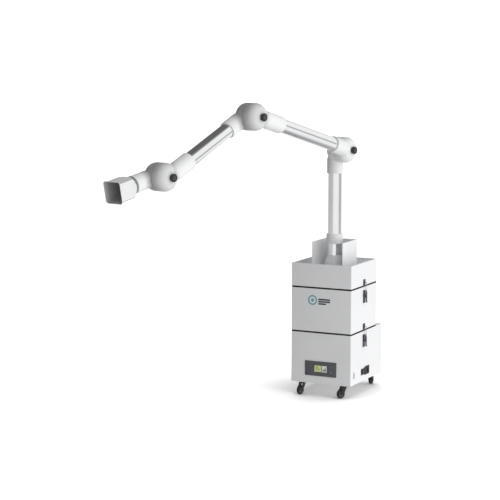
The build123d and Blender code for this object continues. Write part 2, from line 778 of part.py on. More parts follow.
# ------------------------------------------------------------------ draw latches
plate_w = 30.0
plate_h = 70.0
plate_t = 1.5
plate_drop = 18.0         # gasket to the top of the latch plate
lever_pivot = (7.0, -8.0)     # (out from the wall, up from the plate's top)
bail_pivot = (11.0, -22.0)
pin_r = 2.0
wire_r = 1.25
bail_y = 10.8
stub_y = 6.0
wire_bend = 1.5
ear_in = 12.5
ear_out = 14.5
lever_half = 9.0
cheek_t = 2.0
hook_top = 14.0           # gasket's top to the ledge's top
hook_w = 18.0
hook_out = 13.0
hook_t = 2.0
strike_h = 33.0
bar_gap = 0.3
barrel_r = 4.2
# Outlines as (out from the wall, up from the plate's top).
ear_outline = [(plate_t, -2), (plate_t, -16), (10.5, -13), (10.5, -4)]
cheek_outline = [(4.5, -5), (4.5, -10), (9, -40), (13, -40), (13, -14), (9, -5)]
handle_outline = [(13, -14), (13, -60), (15.5, -66), (17, -66), (14.6, -59), (14.6, -14)]


def wall_plane(side, z):
    """Plane across a side wall: x runs out from the wall and y runs up."""
    return Plane(origin=(side * side_x, 0, z), x_dir=(side, 0, 0), z_dir=(0, -side, 0))


def mirrored_slab(plane, points, near, far):
    """Outline extruded into two matching slabs, one each side of the latch's middle."""
    with BuildPart() as slab:
        with BuildSketch(plane):
            Polygon(*points, align=None)
        extrude(amount=far, both=True)
        with BuildSketch(plane):
            Polygon(*points, align=None)
        extrude(amount=near, both=True, mode=Mode.SUBTRACT)
    return slab.part


latch_spots = []
for level in (low_gasket_z, high_gasket_z):
    for side in (1, -1):
        latch_spots.append((side, level))

with BuildPart() as latch_plates:
    for side, level in latch_spots:
        base_plane = wall_plane(side, level - plate_drop)
        with BuildSketch(base_plane):
            with Locations((plate_t / 2, -plate_h / 2)):
                Rectangle(plate_t, plate_h)
        extrude(amount=plate_w / 2, both=True)
        add(mirrored_slab(base_plane, ear_outline, ear_in, ear_out))
        with BuildSketch(base_plane):
            with Locations(lever_pivot):
                Circle(pin_r)
        extrude(amount=ear_out + 1, both=True)
        strike_plane = wall_plane(side, level + gasket_t)
        with BuildSketch(strike_plane):
            with Locations((plate_t / 2, strike_h / 2)):
                Rectangle(plate_t, strike_h)
        extrude(amount=plate_w / 2, both=True)
        with BuildSketch(strike_plane):
            with Locations((hook_out / 2, hook_top - hook_t / 2)):
                Rectangle(hook_out, hook_t)
        extrude(amount=hook_w / 2, both=True)
save(latch_plates.part, "latch_plates")

bail_bar = plate_drop + gasket_t + hook_top + bar_gap + wire_r
for number, (side, level) in enumerate(latch_spots, 1):
    lever_plane = wall_plane(side, level - plate_drop)
    with BuildPart() as latch_lever:
        add(mirrored_slab(lever_plane, cheek_outline, lever_half - cheek_t, lever_half))
        with BuildSketch(lever_plane):
            Polygon(*handle_outline, align=None)
        extrude(amount=lever_half, both=True)
        with BuildSketch(lever_plane):
            with Locations(lever_pivot):
                Circle(barrel_r)
        extrude(amount=lever_half, both=True)
        with BuildSketch(lever_plane):
            with Locations(lever_pivot):
                Circle(pin_r + bolt_fit)
            with Locations(bail_pivot):
                Circle(wire_r + bolt_fit)
        extrude(amount=lever_half + 1, both=True, mode=Mode.SUBTRACT)
    save(latch_lever.part, f"latch_lever_{number}")

    bail_x = side * (side_x + bail_pivot[0])
    bail_low = level - plate_drop + bail_pivot[1]
    bail_high = level - plate_drop + bail_bar
    with BuildPart() as latch_bail:
        with BuildLine():
            bail_path = FilletPolyline(
                (bail_x, stub_y, bail_low),
                (bail_x, bail_y, bail_low),
                (bail_x, bail_y, bail_high),
                (bail_x, -bail_y, bail_high),
                (bail_x, -bail_y, bail_low),
                (bail_x, -stub_y, bail_low),
                radius=wire_bend,
            )
        with BuildSketch(Plane(origin=bail_path @ 0, z_dir=bail_path % 0)):
            Circle(wire_r)
        sweep()
    save(latch_bail.part, f"latch_bail_{number}")

# ------------------------------------------------------------------ castors
castor_side_inset = 54.0
castor_x = side_x - castor_side_inset
castor_front_inset = 32.0
castor_rear_inset = 34.0
castor_front_y = front_y + castor_front_inset
castor_rear_y = back_y - castor_rear_inset
trail = 22.0
wheel_radius = 25.0
wheel_w = 18.0
fork_t = 3.0
fork_gap = 1.0
axle_r = 4.0
top_plate = 54.0
top_plate_t = 2.5
top_plate_corner = 5.0
kingpin_r = 5.0
pin_head_r = 8.0
pin_head_t = 3.0
fork_head_r = 21.0
axle_end = 2.0
tread_round = 3.0
head_gap = 0.3
castors = (
    (-castor_x, castor_front_y, -100.0),
    (castor_x, castor_front_y, -112.0),
    (-castor_x, castor_rear_y, 80.0),
    (castor_x, castor_rear_y, 96.0),
)
disc_top = ground_gap - top_plate_t - head_gap
disc_t = 7.0
disc_low = disc_top - disc_t
head_low = disc_low - head_gap - pin_head_t
# Fork's cheek as (ahead of the stem, height).
cheek_view = [
    (-13, disc_low),
    (-13, disc_low + 3),
    (15, disc_low + 3),
    (trail + 9, wheel_radius + 6),
    (trail + 7, wheel_radius - 8),
    (trail - 7, wheel_radius - 8),
    (-6, disc_low - 12),
]

with BuildPart() as castor_plates:
    for x, y, _ in castors:
        with BuildSketch(Plane.XY.offset(ground_gap - top_plate_t)):
            with Locations((x, y)):
                RectangleRounded(top_plate, top_plate, top_plate_corner)
        extrude(amount=top_plate_t)
        with BuildSketch(Plane.XY.offset(head_low)):
            with Locations((x, y)):
                Circle(kingpin_r)
        extrude(amount=ground_gap - top_plate_t - head_low)
        with BuildSketch(Plane.XY.offset(head_low)):
            with Locations((x, y)):
                Circle(pin_head_r)
        extrude(amount=pin_head_t)
save(castor_plates.part, "castor_plates")

for number, (x, y, heading) in enumerate(castors, 1):
    ahead = Vector(cos(radians(heading)), sin(radians(heading)), 0)
    across = Vector(-ahead.Y, ahead.X, 0)
    axle = Vector(x, y, wheel_radius) + ahead * trail
    fork_in = wheel_w / 2 + fork_gap
    with BuildPart() as castor_fork:
        with BuildSketch(Plane.XY.offset(disc_low)):
            with Locations((x, y)):
                Circle(fork_head_r)
                Circle(kingpin_r + bolt_fit, mode=Mode.SUBTRACT)
        extrude(amount=disc_t)
        for start in (fork_in, -fork_in - fork_t):
            with BuildSketch(Plane(origin=Vector(x, y, 0) + across * start, x_dir=ahead, z_dir=across * -1)):
                Polygon(*cheek_view, align=None)
            extrude(amount=-fork_t)
        with BuildSketch(Plane(origin=axle, z_dir=across)):
            Circle(axle_r)
        extrude(amount=fork_in + fork_t + axle_end, both=True)
    save(castor_fork.part, f"castor_fork_{number}")

    with BuildPart() as castor_wheel:
        with BuildSketch(Plane(origin=axle, z_dir=across)):
            Circle(wheel_radius)
        extrude(amount=wheel_w / 2, both=True)
        fillet(castor_wheel.edges().filter_by(GeomType.CIRCLE), radius=tread_round)
        with BuildSketch(Plane(origin=axle, z_dir=across)):
            Circle(axle_r + bolt_fit)
        extrude(amount=wheel_w, both=True, mode=Mode.SUBTRACT)
    save(castor_wheel.part, f"castor_wheel_{number}")

# ------------------------------------------------------------------ screws
screw_r = 3.0
screw_head_t = 2.0
foot_screw_r = 4.5
panel_screw_inset = 7.0
grille_screw_inset = 6.0
with BuildPart() as screws:
    with BuildSketch(Plane.XY.offset(tray_z + foot_flange_t)):
        with PolarLocations(foot_screw_ring, foot_screws):
            Circle(foot_screw_r)
    extrude(amount=screw_head_t)
    with BuildSketch(Plane.XY.offset(tray_z)):
        with PolarLocations(foot_screw_ring, foot_screws):
            Circle(foot_hole_r)
    extrude(amount=foot_flange_t)
    with BuildSketch(Plane.XZ.offset(-front_y + panel_t)):
        with Locations((0, panel_z)):
            with GridLocations(panel_w - 2 * panel_screw_inset, panel_h - 2 * panel_screw_inset, 2, 2):
                Circle(screw_r)
    extrude(amount=screw_head_t)
    with BuildSketch(Plane.XZ.offset(-back_y - sheet)):
        with Locations((0, outlet_z)):
            with GridLocations(outlet_w + 2 * grille_screw_inset, outlet_h + 2 * grille_screw_inset, 2, 2):
                Circle(screw_r)
    extrude(amount=-screw_head_t)
save(screws.part, "screws")
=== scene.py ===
import json
from math import cos, pi, radians, sin, sqrt, tan

import bmesh
import bpy
from mathutils import Matrix, Vector


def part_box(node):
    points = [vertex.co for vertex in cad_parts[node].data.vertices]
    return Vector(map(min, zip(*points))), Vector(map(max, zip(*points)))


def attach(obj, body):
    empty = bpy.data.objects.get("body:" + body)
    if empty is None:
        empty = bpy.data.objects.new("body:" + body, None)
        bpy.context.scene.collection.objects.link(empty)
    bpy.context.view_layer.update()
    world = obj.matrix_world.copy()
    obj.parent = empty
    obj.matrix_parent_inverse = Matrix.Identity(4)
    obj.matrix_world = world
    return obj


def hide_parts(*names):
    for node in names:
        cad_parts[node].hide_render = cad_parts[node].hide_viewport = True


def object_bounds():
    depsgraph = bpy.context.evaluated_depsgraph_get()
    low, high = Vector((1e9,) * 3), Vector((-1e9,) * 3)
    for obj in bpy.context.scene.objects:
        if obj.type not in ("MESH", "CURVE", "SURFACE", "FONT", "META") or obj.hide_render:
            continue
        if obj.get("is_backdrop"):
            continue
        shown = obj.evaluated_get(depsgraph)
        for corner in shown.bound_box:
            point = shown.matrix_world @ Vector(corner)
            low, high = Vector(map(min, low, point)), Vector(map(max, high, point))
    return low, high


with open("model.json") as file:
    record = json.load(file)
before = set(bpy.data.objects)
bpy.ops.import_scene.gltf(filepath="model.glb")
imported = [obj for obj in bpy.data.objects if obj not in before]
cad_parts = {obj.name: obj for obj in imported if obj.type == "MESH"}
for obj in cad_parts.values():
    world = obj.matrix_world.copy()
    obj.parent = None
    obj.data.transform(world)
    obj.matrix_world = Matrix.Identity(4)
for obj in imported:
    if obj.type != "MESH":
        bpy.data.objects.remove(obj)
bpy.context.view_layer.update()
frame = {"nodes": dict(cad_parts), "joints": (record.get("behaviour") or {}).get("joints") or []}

# Solder fume extractor. All sizes are metres, in the frame's own axes.
SHEET = 0.002
CORNER = 0.005
TUBE_R = 0.0375
TUBE_WALL = 0.0015
CUFF_R = 0.044
DRUM_R = 0.0695
DRUM_TOP = 0.071
DRUM_BAND = 0.026
DRUM_FLAT = 0.024
SEAM_GAP = 0.0012
TUBE_OFFSET = 0.043
KNOB_R = 0.020
KNOB_H = 0.018

UP = Vector((0, 0, 1))
joints = {joint["name"]: joint for joint in frame["joints"]}


def joint_place(name):
    """Where a joint is, and its axis."""
    return Vector(joints[name]["pos_m"]), Vector(joints[name]["axis"]).normalized()


shoulder = joint_place("shoulder_tilt")[0]
elbow, pivot = joint_place("elbow_tilt")
wrist = joint_place("wrist_tilt")[0]
hood_dir = joint_place("hood_swivel")[1]
boom_dir = (elbow - shoulder).normalized()
forearm_dir = (wrist - elbow + pivot * 2 * TUBE_OFFSET).normalized()
boom_axis = shoulder + pivot * TUBE_OFFSET
forearm_axis = elbow - pivot * TUBE_OFFSET
hood_axis = wrist - pivot * TUBE_OFFSET


def span(node, axis):
    """Lowest and highest coordinate of a CAD node along one axis."""
    low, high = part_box(node)
    return low[axis], high[axis]


# ---------------------------------------------------------------- outlines
def fillet(points, radius, steps=5, closed=True):
    """The same outline with an arc at each corner."""
    corners = [Vector(point) for point in points]
    count = len(corners)
    smooth = []
    for index, corner in enumerate(corners):
        if not closed and index in (0, count - 1):
            smooth.append(corner)
            continue
        back = corners[index - 1] - corner
        ahead = corners[(index + 1) % count] - corner
        slope = tan(back.angle(ahead) / 2)
        reach = min(radius / slope, 0.49 * back.length, 0.49 * ahead.length)
        arc_r = reach * slope
        middle = (back.normalized() + ahead.normalized()).normalized()
        centre = corner + middle * sqrt(reach**2 + arc_r**2)
        first = corner + back.normalized() * reach - centre
        last = corner + ahead.normalized() * reach - centre
        turn = first.angle(last)
        for step in range(steps + 1):
            share = step / steps
            blend = first * sin((1 - share) * turn) + last * sin(share * turn)
            smooth.append(centre + blend / sin(turn))
    return smooth


def rounded_rectangle(width, height, radius, steps=6):
    """Corner arcs of a rectangle centred on the origin, counter-clockwise."""
    points = []
    for quarter, (sx, sy) in enumerate(((1, 1), (-1, 1), (-1, -1), (1, -1))):
        for step in range(steps + 1):
            angle = (quarter + step / steps) * pi / 2
            x = sx * (width / 2 - radius) + radius * cos(angle)
            y = sy * (height / 2 - radius) + radius * sin(angle)
            points.append((x, y))
    return points


def circle(radius, steps=48):
    """Points round a circle."""
    return [(radius * cos(2 * pi * step / steps),
             radius * sin(2 * pi * step / steps)) for step in range(steps)]


def quarter_arc(centre, radius_x, radius_y, start, steps=8):
    """Points of a quarter ellipse, from the start angle on by 90 degrees."""
    points = []
    for step in range(steps + 1):
        angle = radians(start + 90 * step / steps)
        points.append((centre[0] + radius_x * cos(angle), centre[1] + radius_y * sin(angle)))
    return points


# ---------------------------------------------------------------- solids as meshes
def skin(rings, closed_along=False, caps=True):
    """Quads between rings of points that all have the same count."""
    solid = bmesh.new()
    loops = [[solid.verts.new(point) for point in ring] for ring in rings]
    pairs = list(zip(loops, loops[1:]))
    if closed_along:
        pairs.append((loops[-1], loops[0]))
    for low, high in pairs:
        for index in range(len(low)):
            after = (index + 1) % len(low)
            solid.faces.new((low[index], low[after], high[after], high[index]))
    if caps and not closed_along:
        solid.faces.new(list(reversed(loops[0])))
        solid.faces.new(loops[-1])
    return solid


def lathe(profile, steps=64, closed=False):
    """Radius and height pairs turned about Z. An open profile starts and ends on the axis."""
    rings = []
    for radius, height in profile:
        turns = [2 * pi * step / steps for step in range(steps)]
        rings.append([(radius * cos(turn), radius * sin(turn), height) for turn in turns])
    return skin(rings, closed_along=closed, caps=False)


def prism(outline, low, high):
    """Flat outline given a thickness along Z."""
    return skin([[(p[0], p[1], low) for p in outline], [(p[0], p[1], high) for p in outline]])


def frame_plate(outer, inner, low, high):
    """Plate between two outlines with the same number of points."""
    levels = ((outer, low), (outer, high), (inner, high), (inner, low))
    return skin([[(p[0], p[1], level) for p in outline] for outline, level in levels], closed_along=True)


def joined(*solids):
    """One mesh that holds several."""
    whole = bmesh.new()
    for solid in solids:
        scratch = bpy.data.meshes.new("scratch")
        solid.to_mesh(scratch)
        solid.free()
        whole.from_mesh(scratch)
        bpy.data.meshes.remove(scratch)
    return whole


def moved(solid, place):
    """The mesh set at a place, or shifted by a vector."""
    solid.transform(place if isinstance(place, Matrix) else Matrix.Translation(place))
    return solid


def axes(origin, x_axis, z_axis):
    """Place whose Z is z_axis, and whose X is as near to x_axis as it can be."""
    z = Vector(z_axis).normalized()
    y = z.cross(Vector(x_axis)).normalized()
    x = y.cross(z)
    return Matrix.Translation(Vector(origin)) @ Matrix((x, y, z)).transposed().to_4x4()


SHARP = 38                # degrees of bend from which an edge stays sharp


def shown(solid, name, finish, sharp=SHARP):
    """Object made of a finished mesh, smooth except at its sharp edges."""
    bmesh.ops.remove_doubles(solid, verts=solid.verts, dist=1e-6)
    bmesh.ops.dissolve_degenerate(solid, edges=solid.edges, dist=1e-7)
    bmesh.ops.recalc_face_normals(solid, faces=solid.faces)
    mesh = bpy.data.meshes.new(name)
    solid.to_mesh(mesh)
    solid.free()
    mesh.materials.append(finish)
    mesh.shade_smooth()
    mesh.set_sharp_from_angle(angle=radians(sharp))
    piece = bpy.data.objects.new(name, mesh)
    bpy.context.scene.collection.objects.link(piece)
    return piece


def soften(piece, width, segments=3, angle=30):
    """Rounds a piece's sharp edges."""
    edge = piece.modifiers.new("soft edges", "BEVEL")
    edge.width = width
    edge.segments = segments
    edge.limit_method = "ANGLE"
    edge.angle_limit = radians(angle)
    edge.harden_normals = True
    return piece


def settle(piece):
    """Makes a piece's modifiers part of its mesh."""
    bpy.context.view_layer.update()
    depsgraph = bpy.context.evaluated_depsgraph_get()
    mesh = bpy.data.meshes.new_from_object(piece.evaluated_get(depsgraph))
    piece.modifiers.clear()
    piece.data = mesh
    mesh.shade_smooth()
    mesh.set_sharp_from_angle(angle=radians(SHARP))
    return piece


def taken(piece):
    """Mesh of a scratch object, which is removed."""
    solid = bmesh.new()
    solid.from_mesh(piece.data)
    bpy.data.objects.remove(piece)
    return solid


def cut(piece, solid):
    """Takes a mesh away from a piece."""
    cutter = shown(solid, "cutter", piece.data.materials[0])
    step = piece.modifiers.new("cut", "BOOLEAN")
    step.operation = "DIFFERENCE"
    step.solver = "EXACT"
    step.object = cutter
    settle(piece)
    bpy.data.objects.remove(cutter)
    return piece


def fitted(piece, body, slot, *nodes):
    """Rides a finished piece on its body and lets it stand for its CAD nodes; the slot is not used."""
    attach(piece, body)
    if nodes:
        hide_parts(*nodes)
    return piece


def fit(solid, name, finish, body, slot, *nodes):
    """Finished piece made of a mesh, riding on its body."""
    return fitted(shown(solid, name, finish), body, slot, *nodes)


# ---------------------------------------------------------------- finishes
def start_finish(name, colour, roughness, metallic=0.0):
    """New material with its constant values set on the shader."""
    made = bpy.data.materials.new(name)
    made.use_nodes = True
    shader = made.node_tree.nodes["Principled BSDF"]
    shader.inputs["Base Color"].default_value = (*colour, 1)
    shader.inputs["Roughness"].default_value = roughness
    shader.inputs["Metallic"].default_value = metallic
    return made, made.node_tree, shader


def noise(tree, scale, detail=3.0, stretch=(1, 1, 1), along=None):
    """Noise on Object coordinates, first turned so that Z runs along a direction, then stretched."""
    source = tree.nodes.new("ShaderNodeTexCoord").outputs["Object"]
    if along is not None:
        turn = tree.nodes.new("ShaderNodeMapping")
        facing = Vector(along).to_track_quat("Z", "Y")
        turn.inputs["Rotation"].default_value = facing.inverted().to_euler()
        tree.links.new(source, turn.inputs["Vector"])
        source = turn.outputs["Vector"]
    shape = tree.nodes.new("ShaderNodeMapping")
    shape.inputs["Scale"].default_value = stretch
    tree.links.new(source, shape.inputs["Vector"])
    texture = tree.nodes.new("ShaderNodeTexNoise")
    texture.inputs["Scale"].default_value = scale
    texture.inputs["Detail"].default_value = detail
    tree.links.new(shape.outputs["Vector"], texture.inputs["Vector"])
    return texture.outputs["Fac"]


def vary(tree, socket, factor, low, high, start=0.3, end=0.7):
    """Runs a shader's number or colour between two values."""
    ramp = tree.nodes.new("ShaderNodeValToRGB")
    ramp.color_ramp.elements[0].position = start
    ramp.color_ramp.elements[1].position = end
    for element, value in zip(ramp.color_ramp.elements, (low, high)):
        element.color = (*value, 1) if hasattr(value, "__len__") else (value, value, value, 1)
    tree.links.new(factor, ramp.inputs["Fac"])
    tree.links.new(ramp.outputs["Color"], socket)


def bump(tree, shader, height, strength, distance):
    """Raises the surface by a height."""
    relief = tree.nodes.new("ShaderNodeBump")
    relief.inputs["Strength"].default_value = strength
    relief.inputs["Distance"].default_value = distance
    tree.links.new(height, relief.inputs["Height"])
    tree.links.new(relief.outputs["Normal"], shader.inputs["Normal"])


def powder_coat(name, colour):
    """Baked powder coat: orange peel, and slow changes in gloss."""
    made, tree, shader = start_finish(name, colour, 0.42)
    darker = [0.965 * part for part in colour]
    vary(tree, shader.inputs["Base Color"], noise(tree, 7), darker, colour)
    vary(tree, shader.inputs["Roughness"], noise(tree, 11, 5), 0.36, 0.50)
    bump(tree, shader, noise(tree, 900, 2), 0.16, 0.0002)
    return made


def moulded_plastic(name, colour, gloss=0.3, grain=1400, depth=0.10):
    """Injection-moulded plastic with a fine spark texture."""
    made, tree, shader = start_finish(name, colour, gloss)
    darker = [0.95 * part for part in colour]
    vary(tree, shader.inputs["Base Color"], noise(tree, 9), darker, colour)
    vary(tree, shader.inputs["Roughness"], noise(tree, 30, 4), gloss * 0.85, gloss * 1.25)
    bump(tree, shader, noise(tree, grain, 2), depth, 0.0001)
    return made


def shaded_drum_plastic(name, colour, shade_colour, centre):
    """Moulded plastic with painted shade: greyer over a joint's drum, fading out along its cuffs."""
    made = moulded_plastic(name, colour, 0.34)
    tree = made.node_tree
    shader = tree.nodes["Principled BSDF"]
    reach = tree.nodes.new("ShaderNodeVectorMath")
    reach.operation = "DISTANCE"
    reach.inputs[1].default_value = centre
    tree.links.new(tree.nodes.new("ShaderNodeTexCoord").outputs["Object"], reach.inputs[0])
    vary(tree, shader.inputs["Base Color"], reach.outputs["Value"], shade_colour, colour, 0.072, 0.112)
    return made


def polished_tube(name, along):
    """Polished aluminium with faint drawing lines along the tube."""
    made, tree, shader = start_finish(name, (0.90, 0.905, 0.915), 0.16, 1.0)
    lines = noise(tree, 1, 4, stretch=(420, 420, 3.5), along=along)
    vary(tree, shader.inputs["Roughness"], lines, 0.13, 0.22)
    vary(tree, shader.inputs["Base Color"], noise(tree, 5, along=along), (0.87, 0.875, 0.885),
         (0.91, 0.915, 0.925))
    return made


def plated_steel(name, colour, roughness):
    """Zinc plating with fine cloudy variation."""
    made, tree, shader = start_finish(name, colour, roughness, 1.0)
    cloud = noise(tree, 160, 5)
    vary(tree, shader.inputs["Base Color"], cloud, [0.8 * part for part in colour], colour)
    vary(tree, shader.inputs["Roughness"], cloud, roughness * 0.8, roughness * 1.4)
    bump(tree, shader, noise(tree, 1100, 2), 0.08, 0.0001)
    return made


def foam_rubber(name, colour):
    """Closed-cell foam or tyre rubber, matt and finely pitted."""
    made, tree, shader = start_finish(name, colour, 0.85)
    cells = tree.nodes.new("ShaderNodeTexVoronoi")
    cells.inputs["Scale"].default_value = 1300
    tree.links.new(tree.nodes.new("ShaderNodeTexCoord").outputs["Object"], cells.inputs["Vector"])
    vary(tree, shader.inputs["Base Color"], noise(tree, 60, 4), [0.7 * part for part in colour], colour)
    bump(tree, shader, cells.outputs["Distance"], 0.35, 0.0003)
    return made


def printed(name, colour):
    """Printed ink or a label, slightly uneven."""
    made, tree, shader = start_finish(name, colour, 0.35)
    vary(tree, shader.inputs["Base Color"], noise(tree, 220, 4), [0.85 * part for part in colour],
         colour)
    vary(tree, shader.inputs["Roughness"], noise(tree, 80), 0.3, 0.42)
    return made


def lit_screen(name, colour, glow):
    """Backlit display, a little brighter in its middle stretches."""
    made, tree, shader = start_finish(name, colour, 0.25)
    cloud = noise(tree, 25, 2)
    vary(tree, shader.inputs["Base Color"], cloud, [0.8 * part for part in colour], colour)
    vary(tree, shader.inputs["Emission Color"], cloud, [0.8 * part for part in colour], colour)
    shader.inputs["Emission Strength"].default_value = glow
    return made


def clear_window(name):
    """Thin clear plastic with a faint haze."""
    made, tree, shader = start_finish(name, (0.95, 0.97, 0.96), 0.06)
    shader.inputs["Transmission Weight"].default_value = 1.0
    shader.inputs["IOR"].default_value = 1.2
    vary(tree, shader.inputs["Roughness"], noise(tree, 40, 4), 0.03, 0.10)
    return made


def filter_media(name, colour):
    """Pleated filter paper with loose fibres."""
    made, tree, shader = start_finish(name, colour, 0.95)
    fibres = noise(tree, 1, 6, stretch=(900, 900, 120))
    vary(tree, shader.inputs["Base Color"], fibres, [0.8 * part for part in colour], colour)
    bump(tree, shader, fibres, 0.4, 0.0004)
    return made


coat = powder_coat("white powder coat", (0.86, 0.865, 0.875))
shell_white = moulded_plastic("satin white shell", (0.86, 0.865, 0.87), 0.34)
DRUM_SHADE = 0.022        # the painted shade on a drum is centred this far inward of its seam
# Elbow and wrist shells are shaded copies of the white shell: the grey over their drums is painted shade.
elbow_shaded_shell = shaded_drum_plastic("elbow shell painted shade", (0.86, 0.865, 0.87), (0.36, 0.362, 0.365),
                           elbow - DRUM_SHADE * pivot)
wrist_shaded_shell = shaded_drum_plastic("wrist shell painted shade", (0.86, 0.865, 0.87), (0.38, 0.382, 0.386),
                           wrist - DRUM_SHADE * pivot)
hood_white = moulded_plastic("satin white hood", (0.80, 0.805, 0.81), 0.38)
swivel_grey = moulded_plastic("grey swivel ring", (0.30, 0.30, 0.31), 0.45)
mast_polish = polished_tube("polished mast tube", UP)
boom_polish = polished_tube("polished boom tube", boom_dir)
forearm_polish = polished_tube("polished forearm tube", forearm_dir)
knob_black = moulded_plastic("black knob", (0.016, 0.016, 0.018), 0.38, 900, 0.25)
cap_grey = moulded_plastic("dark grey cap", (0.05, 0.05, 0.055), 0.30)
socket_black = moulded_plastic("black socket", (0.012, 0.012, 0.015), 0.50, 700, 0.3)
port_grey = moulded_plastic("pale grey port", (0.52, 0.52, 0.53), 0.45)
panel_grey = moulded_plastic("dark grey panel", (0.090, 0.092, 0.100), 0.45, 800, 0.25)
button_grey = moulded_plastic("grey button", (0.15, 0.155, 0.165), 0.40)
castor_black = moulded_plastic("black castor fork", (0.014, 0.014, 0.015), 0.45, 700, 0.3)
hub_grey = moulded_plastic("grey castor hub", (0.10, 0.10, 0.105), 0.40)
tyre = foam_rubber("castor tyre", (0.022, 0.022, 0.022))
gasket = foam_rubber("black gasket", (0.010, 0.010, 0.011))
seam_rubber = foam_rubber("friction ring", (0.20, 0.20, 0.21))
latch_coat = plated_steel("dark latch coating", (0.085, 0.075, 0.11), 0.38)
zinc = plated_steel("zinc plating", (0.62, 0.62, 0.64), 0.30)
wire_coat = powder_coat("dark grey wire", (0.30, 0.30, 0.31))
# Grey for the inside of the white hood: painted shade.
hood_inside_painted_shade = moulded_plastic("painted shade inside hood", (0.42, 0.42, 0.43), 0.55)
screen_green = lit_screen("yellow-green display", (0.50, 0.53, 0.20), 0.25)
lamp_off = lit_screen("unlit lamp", (0.10, 0.13, 0.05), 0.02)
screen_grey = lit_screen("pale grey display", (0.55, 0.56, 0.57), 0.15)
window_clear = clear_window("display window")
mark_teal = printed("teal print", (0.17, 0.42, 0.47))
mark_dark = printed("dark print", (0.035, 0.04, 0.05))
motor_paint = powder_coat("motor paint", (0.13, 0.13, 0.14))
paper = filter_media("filter paper", (0.78, 0.77, 0.72))
granules = filter_media("carbon granules", (0.05, 0.05, 0.05))

for node, finish in {
    "base_floor": coat,
    "tray_floor": coat,
    "blower_scroll": motor_paint,
    "blower_motor": motor_paint,
    "blower_wheel": socket_black,
    "carbon_filter": granules,
    "particle_filter": paper,
}.items():
    frame["nodes"][node].data.materials.clear()
    frame["nodes"][node].data.materials.append(finish)


# ---------------------------------------------------------------- repeated parts from node trees
def new_tree(name, inputs):
    """Geometry node tree with named inputs, and its input and output nodes."""
    tree = bpy.data.node_groups.new(name, "GeometryNodeTree")
    tree.interface.new_socket("Geometry", in_out="OUTPUT", socket_type="NodeSocketGeometry")
    tree.interface.new_socket("Geometry", in_out="INPUT", socket_type="NodeSocketGeometry")
    for label, kind in inputs:
        tree.interface.new_socket(label, in_out="INPUT", socket_type=kind)
    return tree, tree.nodes.new("NodeGroupInput"), tree.nodes.new("NodeGroupOutput")


def finish_tree(tree, given, made, result):
    """Ends a tree in real geometry with its finish."""
    solid = tree.nodes.new("GeometryNodeRealizeInstances")
    finish = tree.nodes.new("GeometryNodeSetMaterial")
    tree.links.new(result, solid.inputs["Geometry"])
    tree.links.new(solid.outputs["Geometry"], finish.inputs["Geometry"])
    tree.links.new(given.outputs["Finish"], finish.inputs["Material"])
    tree.links.new(finish.outputs["Geometry"], made.inputs["Geometry"])


def grown(name, base, tree, values, place=None):
    """Plain mesh object made by a node tree on a base object, set at its place."""
    step = base.modifiers.new("tree", "NODES")
    step.node_group = tree
    for item in tree.interface.items_tree:
        if item.in_out == "INPUT" and item.name in values:
            step[item.identifier] = values[item.name]
    settle(base)
    base.name = name
    if place is not None:
        base.data.transform(place)
    return base


def empty_base(name):
    """Object with an empty mesh for a tree to work on."""
    base = bpy.data.objects.new(name, bpy.data.meshes.new(name))
    bpy.context.scene.collection.objects.link(base)
    return base


def screw_tree():
    """Copies of a head on points, each turned to face its own way."""
    tree, given, made = new_tree("screw heads", [
        ("Head", "NodeSocketObject"), ("Size", "NodeSocketFloat"), ("Finish", "NodeSocketMaterial")])
    head = tree.nodes.new("GeometryNodeObjectInfo")
    facing = tree.nodes.new("GeometryNodeInputNamedAttribute")
    facing.data_type = "FLOAT_VECTOR"
    facing.inputs["Name"].default_value = "facing"
    turn = tree.nodes.new("FunctionNodeAlignRotationToVector")
    turn.axis = "Z"
    copies = tree.nodes.new("GeometryNodeInstanceOnPoints")
    tree.links.new(given.outputs["Head"], head.inputs["Object"])
    tree.links.new(given.outputs["Geometry"], copies.inputs["Points"])
    tree.links.new(head.outputs["Geometry"], copies.inputs["Instance"])
    tree.links.new(facing.outputs["Attribute"], turn.inputs["Vector"])
    tree.links.new(turn.outputs["Rotation"], copies.inputs["Rotation"])
    tree.links.new(given.outputs["Size"], copies.inputs["Scale"])
    finish_tree(tree, given, made, copies.outputs["Instances"])
    return tree


def flat_outline(tree, given):
    """Thin rectangle with round edges."""
    outline = tree.nodes.new("GeometryNodeCurvePrimitiveQuadrilateral")
    round_edge = tree.nodes.new("GeometryNodeFilletCurve")
    round_edge.mode = "POLY"
    round_edge.inputs["Count"].default_value = 3
    edge_r = tree.nodes.new("ShaderNodeMath")
    edge_r.operation = "MULTIPLY"
    edge_r.inputs[1].default_value = 0.45
    tree.links.new(given.outputs["Thickness"], outline.inputs["Width"])
    tree.links.new(given.outputs["Depth"], outline.inputs["Height"])
    tree.links.new(given.outputs["Thickness"], edge_r.inputs[0])
    tree.links.new(outline.outputs["Curve"], round_edge.inputs["Curve"])
    tree.links.new(edge_r.outputs["Value"], round_edge.inputs["Radius"])
    return round_edge.outputs["Curve"]


def round_outline(tree, given):
    """Circle whose radius is the thickness."""
    ring = tree.nodes.new("GeometryNodeCurvePrimitiveCircle")
    ring.inputs["Resolution"].default_value = 6
    tree.links.new(given.outputs["Thickness"], ring.inputs["Radius"])
    return ring.outputs["Curve"]


